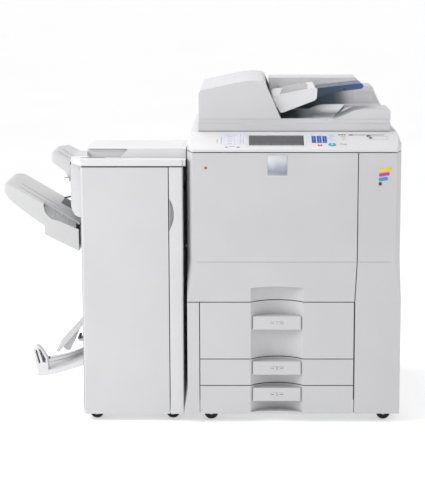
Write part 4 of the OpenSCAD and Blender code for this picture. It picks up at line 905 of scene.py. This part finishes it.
def shift_tray_fittings():
    """Creases in painted shade, the scooped finger notch lined with painted shade, a dark patch of painted
    shade near the tray's root and two brackets of the shift tray.
    """
    top = [(-1012, 834.5), (-985, 818.5), (-950, 797.9), (-900, 768.4), (-850, 739), (-800, 709.5)]
    bm = bmesh.new()
    for y0, y1 in ((215, 196), (290, 262)):
        points = [(x, y0 + (y1 - y0) * k / 5, z + 0.2) for k, (x, z) in enumerate(top)]
        groove(bm, points[1:-1], OUT_OF_TRAY, 3.0, 0.5)
    new_piece("shift_tray_crease_shade", bm, "painted shade plastic", "shift_tray")
    notch = [(-889, 750), (-886, 737), (-873, 719), (-856, 708), (-833, 701), (-810, 691), (-777, 676)]
    behind = [(-888, 758), (-884, 755), (-872, 749), (-856, 739.5), (-833, 726), (-810, 712), (-778, 693)]
    bm = bmesh.new()
    ruled(bm, [(x, 154, z) for x, z in notch], [(x, 183.5, z) for x, z in behind])
    new_piece("shift_tray_scoop", bm, "scoop painted shade plastic", "shift_tray")
    # painted shade: a dark patch on the tray's slope near its root
    bm = bmesh.new()
    slope = [(-850, 739), (-800, 709.5), (-772, 693)]
    ruled(bm, [(x, 345, z + 0.5) for x, z in slope], [(x, 478, z + 0.5) for x, z in slope])
    new_piece("shift_tray_root_shade", bm, "housing plastic and painted shade", "shift_tray")
    bars("shift_tray_brackets", "black plastic", "shift_tray",
         *[((-774, y - 6, 610), (-768, y + 6, 680), 1.0) for y in (252, 420)])


def fixed_tray_fittings():
    """Creases of the upper tray, rubbers, ribs and roller of the booklet tray, and the upper tray's catch;
    the creases, ribs and catch are in painted shade.
    """
    bm = bmesh.new()
    for y0, y1 in ((200, 190), (300, 270)):
        points = [(-838, y0, 944.8), (-824, (y0 * 2 + y1) / 3, 937), (-806, (y0 + y1 * 2) / 3, 926.8),
                  (-792, y1, 920)]
        groove(bm, points, OUT_OF_TRAY, 2.6, 0.5)
    new_piece("upper_tray_crease_shade", bm, "painted shade plastic", "finisher")
    bars("booklet_rubbers", "seal rubber and painted gap shade", "finisher",
         *[((-918, y, 150.5), (-905, y + 18, 152.5), 0.8) for y in (208, 350)])
    bm = bmesh.new()
    edge = [(-916, 144.5), (-870, 153.5), (-820, 166.5), (-762, 190.5)]
    for y in (300, 360):
        groove(bm, [(x, y, z) for x, z in edge], UP, 2.0, 0.8)
    new_piece("booklet_ribs", bm, "painted shade plastic", "finisher")
    bm = bmesh.new()
    pin(bm, (-778, 204, 262), FRONT, [(0, 3), (4, 3), (5, 2), (5, -60), (0, -60)])
    new_piece("booklet_roller", bm, "housing plastic and painted shade", "finisher")
    bars("booklet_roller_holder", "finisher plastic", "finisher",
         *[((-782, y, 246), (-746, y + 18, 258), 2) for y in (208, 240)])
    bars("tray_catch", "painted shade plastic", "finisher",
         ((-796, 136, 846), (-789, 150, 858), 1.5),
         ((-812, 138, 858), (-790, 148, 861), 1.0))


def finisher_body_fittings():
    """Lines of painted shade on the hood, catches inside the door, and the parts behind it that a hand opens.
    """
    lines("hood_shade_lines", "painted shade plastic", "finisher", FRONT, 1.4, 0.5,
          [(-748, 84.6, 937), (-664, 84.6, 937)],
          [(-716, 84.4, 967.5), (-592, 84.4, 967.5)])
    door_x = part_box("finisher_door")[0].x / MM - MIDDLE_X / MM
    bars("finisher_door_catches", "black plastic", "finisher_door",
         *[((door_x + 282, 35, z), (door_x + 296, 42, z + 24), 1.5) for z in (860, 90)])
    # green handles of the stapler and of the guide plates
    bars("stapler_grip", "green plastic", "finisher", ((-694, 92, 660), (-640, 111, 684), 5))
    for index, (x, z, w) in enumerate(((-700, 800, 190), (-700, 520, 220), (-690, 330, 200))):
        bm = bmesh.new()
        bar(bm, (x, 100, z), (x + w, 104, z + 70), 4)
        for rise in (10, 56):
            bar(bm, (x + 10, 96, z + rise), (x + w - 10, 100.5, z + rise + 4), 1.5)
        new_piece("guide_plate_%d" % (index + 1), bm, "inner plastic", "finisher")
        bm = bmesh.new()
        pin(bm, (x + w - 30, 100, z + 35), FRONT, [(0, 24), (11, 24), (14, 20), (14, 0), (0, 0)])
        new_piece("guide_knob_%d" % (index + 1), bm, "green plastic", "finisher")


# ---------------------------------------------------------------- inside, drawers, back and casters

def inner_fittings():
    """Bottle caps, grips, levers and rollers behind the doors."""
    bottles = (("yellow", -250, 24), ("magenta", -158, 24), ("cyan", -66, 24), ("black", 40, 36))
    for ink, x, r in bottles:
        bm = bmesh.new()
        cap = [(0, 6), (r * 0.5, 6), (r * 0.55, 3), (r - 3, 3), (r - 1, 1.5), (r - 1, 0), (0, 0)]
        pin(bm, (x, 72.5, 855), FRONT, cap, 40)
        bar(bm, (x - r * 0.62, 62, 850), (x + r * 0.62, 68, 860), 2.5)
        new_piece("bottle_cap_" + ink, bm, ink + " ink", "copier")
    bm = bmesh.new()
    for x in (-240, -140, -40, 60):
        bar(bm, (x - 15, 68, 604), (x + 15, 76.5, 636), 4)
        bar(bm, (x - 11, 60, 614), (x + 11, 69, 626), 3)
    new_piece("cartridge_grips", bm, "green plastic", "copier")
    bm = bmesh.new()
    for x, z in ((-306, 700), (190, 730), (190, 610)):
        pin(bm, (x, 86, z), FRONT, [(0, 9), (12, 9), (15, 6), (15, 0), (0, 0)])
        bar(bm, (x - 5, 70, z - 4), (x + 5, 78, z + 34), 2.5)
    new_piece("green_levers", bm, "green plastic", "copier")
    bm = bmesh.new()
    roller = [(0, 0), (7, 0), (7, 6), (21, 6), (21, 470), (7, 470), (7, 476), (0, 476)]
    for z in (690, 742):
        pin(bm, (279, 108, z), BACK, roller, 36)
    new_piece("fuser_rollers", bm, "roller rubber", "copier")
    bm = bmesh.new()
    for x in (-250, 100):
        pin(bm, (x, 100.5, 732), FRONT, [(0, 3), (16, 3), (19, 1.5), (19, 0), (0, 0)])
    new_piece("belt_roller_ends", bm, "bright metal", "copier")


def drawer_fittings():
    """A lift plate, paper guides and their green catch in each paper drawer."""
    for number, (floor, top) in enumerate(((248.5, 410), (152.5, 218), (86.5, 124)), 1):
        body = "drawer_%d" % number
        bars("lift_plate_%d" % number, "folded sheet", body,
             ((-262, 66, floor), (150, 560, floor + 1.4), 0.5))
        bm = bmesh.new()
        for x in (-268, 152):
            bar(bm, (x, 180, floor), (x + 5, 420, top - 14), 1.5)
        bar(bm, (-120, 568, floor), (10, 573, top - 14), 1.5)
        new_piece("paper_guides_%d" % number, bm, "inner plastic", body)
        bars("guide_catch_%d" % number, "green plastic", body,
             ((-100, 560, top - 24), (-10, 569, top - 16), 2))


def back_fittings():
    """Screws, vents and seams of the rear and right covers; the vents are dark lines of painted shade and the
    seams lines of painted crease shade.
    """
    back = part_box("rear_cover")[1].y / MM - FRONT_Y / MM
    bm = bmesh.new()
    for x in (-350, 350):
        for z in (60, 330, 620, 900):
            pin(bm, (x, back - 0.6, z), BACK, [(0, 0.8), (3.6, 0.8), (5, 0.3), (5, 0), (0, 0)])
    new_piece("rear_screws", bm, "bright metal", "copier")
    # painted shade: dark lines where the vents' slots are
    lines("rear_vent_shade", "dark print and painted vent shade", "copier", BACK, 6, 0.2,
          *[[(-200, back, z), (-40, back, z)] for z in range(430, 581, 30)])
    lines("rear_seam", "painted crease shade plastic", "copier", BACK, 2, 0.2, [(-340, back, 380), (340, back, 380)])
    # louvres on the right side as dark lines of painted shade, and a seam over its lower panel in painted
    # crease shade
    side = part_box("right_cover")[1].x / MM - MIDDLE_X / MM
    lines("side_vent_shade", "dark print and painted vent shade", "copier", RIGHT, 5, 0.2,
          *[[(side, 600, z), (side, 760, z)] for z in range(640, 711, 14)])
    lines("side_seam", "painted crease shade plastic", "copier", RIGHT, 2, 0.2, [(side, 110, 600), (side, 800, 600)])


HUB_PROFILE = ((4.2, 2.6), (8, 2.6), (9, 1.8), (9, 0), (4.2, 0), (4.2, 2.6))
HUB_INSET = 3.2  # from the tyre's side to the hub's foot


def caster_fittings():
    """Hub rings on both sides of the copier's wheels."""
    for corner in CORNERS:
        lo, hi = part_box("caster_wheel_" + corner)
        middle = (lo + hi) / 2
        bm = bmesh.new()
        for side in (FRONT, BACK):
            face = middle + Vector(side) * ((hi.y - lo.y) / 2 - HUB_INSET * MM)
            add_lathe(bm, [(r * MM, h * MM) for r, h in HUB_PROFILE], rod_matrix(side, face))
        new_piece("wheel_hub_" + corner, bm, "housing plastic and painted shade", "wheel_" + corner)


# ---------------------------------------------------------------- stage

FLOOR_GLOW = 0.45
WORLD_STRENGTH = 0.60


def add_area(name, place, target, size, power, spread=180):
    """A rectangular lamp in watts that faces its target, with its spread in degrees."""
    data = bpy.data.lights.new(name, "AREA")
    data.spread = radians(spread)
    data.shape = "RECTANGLE"
    data.size, data.size_y = size
    data.energy = power
    light = bpy.data.objects.new(name, data)
    light.location = place
    light.rotation_euler = (Vector(target) - Vector(place)).to_track_quat("-Z", "Y").to_euler()
    bpy.context.scene.collection.objects.link(light)


def make_stage():
    """A pale floor to the horizon, a white dome, a key from the left, a small spot and a broad top light."""
    s = Shader("studio floor", "")
    tint = s.mix(s.remap(s.noise(0.7, 4.0), 0.0, 1.0), (0.86, 0.86, 0.865, 1), (0.90, 0.90, 0.90, 1))
    s.set(Base_Color=tint, Roughness=s.remap(s.noise(3.0, 4.0), 0.55, 0.65), Emission_Color=(1, 1, 1, 1),
          Emission_Strength=FLOOR_GLOW)
    bm = bmesh.new()
    bmesh.ops.create_circle(bm, cap_ends=True, radius=FLOOR_RADIUS, segments=96)
    mesh = bpy.data.meshes.new("studio_floor")
    bm.to_mesh(mesh)
    bm.free()
    mesh.materials.append(s.material)
    floor = bpy.data.objects.new("studio_floor", mesh)
    bpy.context.scene.collection.objects.link(floor)
    world = bpy.data.worlds.new("studio")
    world.use_nodes = True
    dome = world.node_tree.nodes["Background"].inputs
    dome["Color"].default_value = (1, 1, 1, 1)
    dome["Strength"].default_value = WORLD_STRENGTH
    bpy.context.scene.world = world
    bpy.context.scene.view_settings.view_transform = "Standard"
    add_area("key_light", place=(-2.1, -1.5, 1.9), target=(-0.1, -0.1, 0.6), size=(1.2, 1.2), power=29)
    add_area("valley_light", place=(1.35, -2.2, 1.62), target=(0.40, -0.10, 1.09), size=(0.25, 0.25),
             power=0.06, spread=16)
    add_area("top_light", place=(-0.6, 0.1, 3.2), target=(0.0, 0.1, 0.8), size=(2.6, 2.0), power=44)


key_zones()
screen_fittings()
key_signs()
console_marks()
door_marks()
grip_marks()
seam_seals()
dock_side()
lid_gasket()
door_insides()
feeder_fittings()
shift_tray_fittings()
fixed_tray_fittings()
finisher_body_fittings()
inner_fittings()
drawer_fittings()
back_fittings()
caster_fittings()
make_stage()
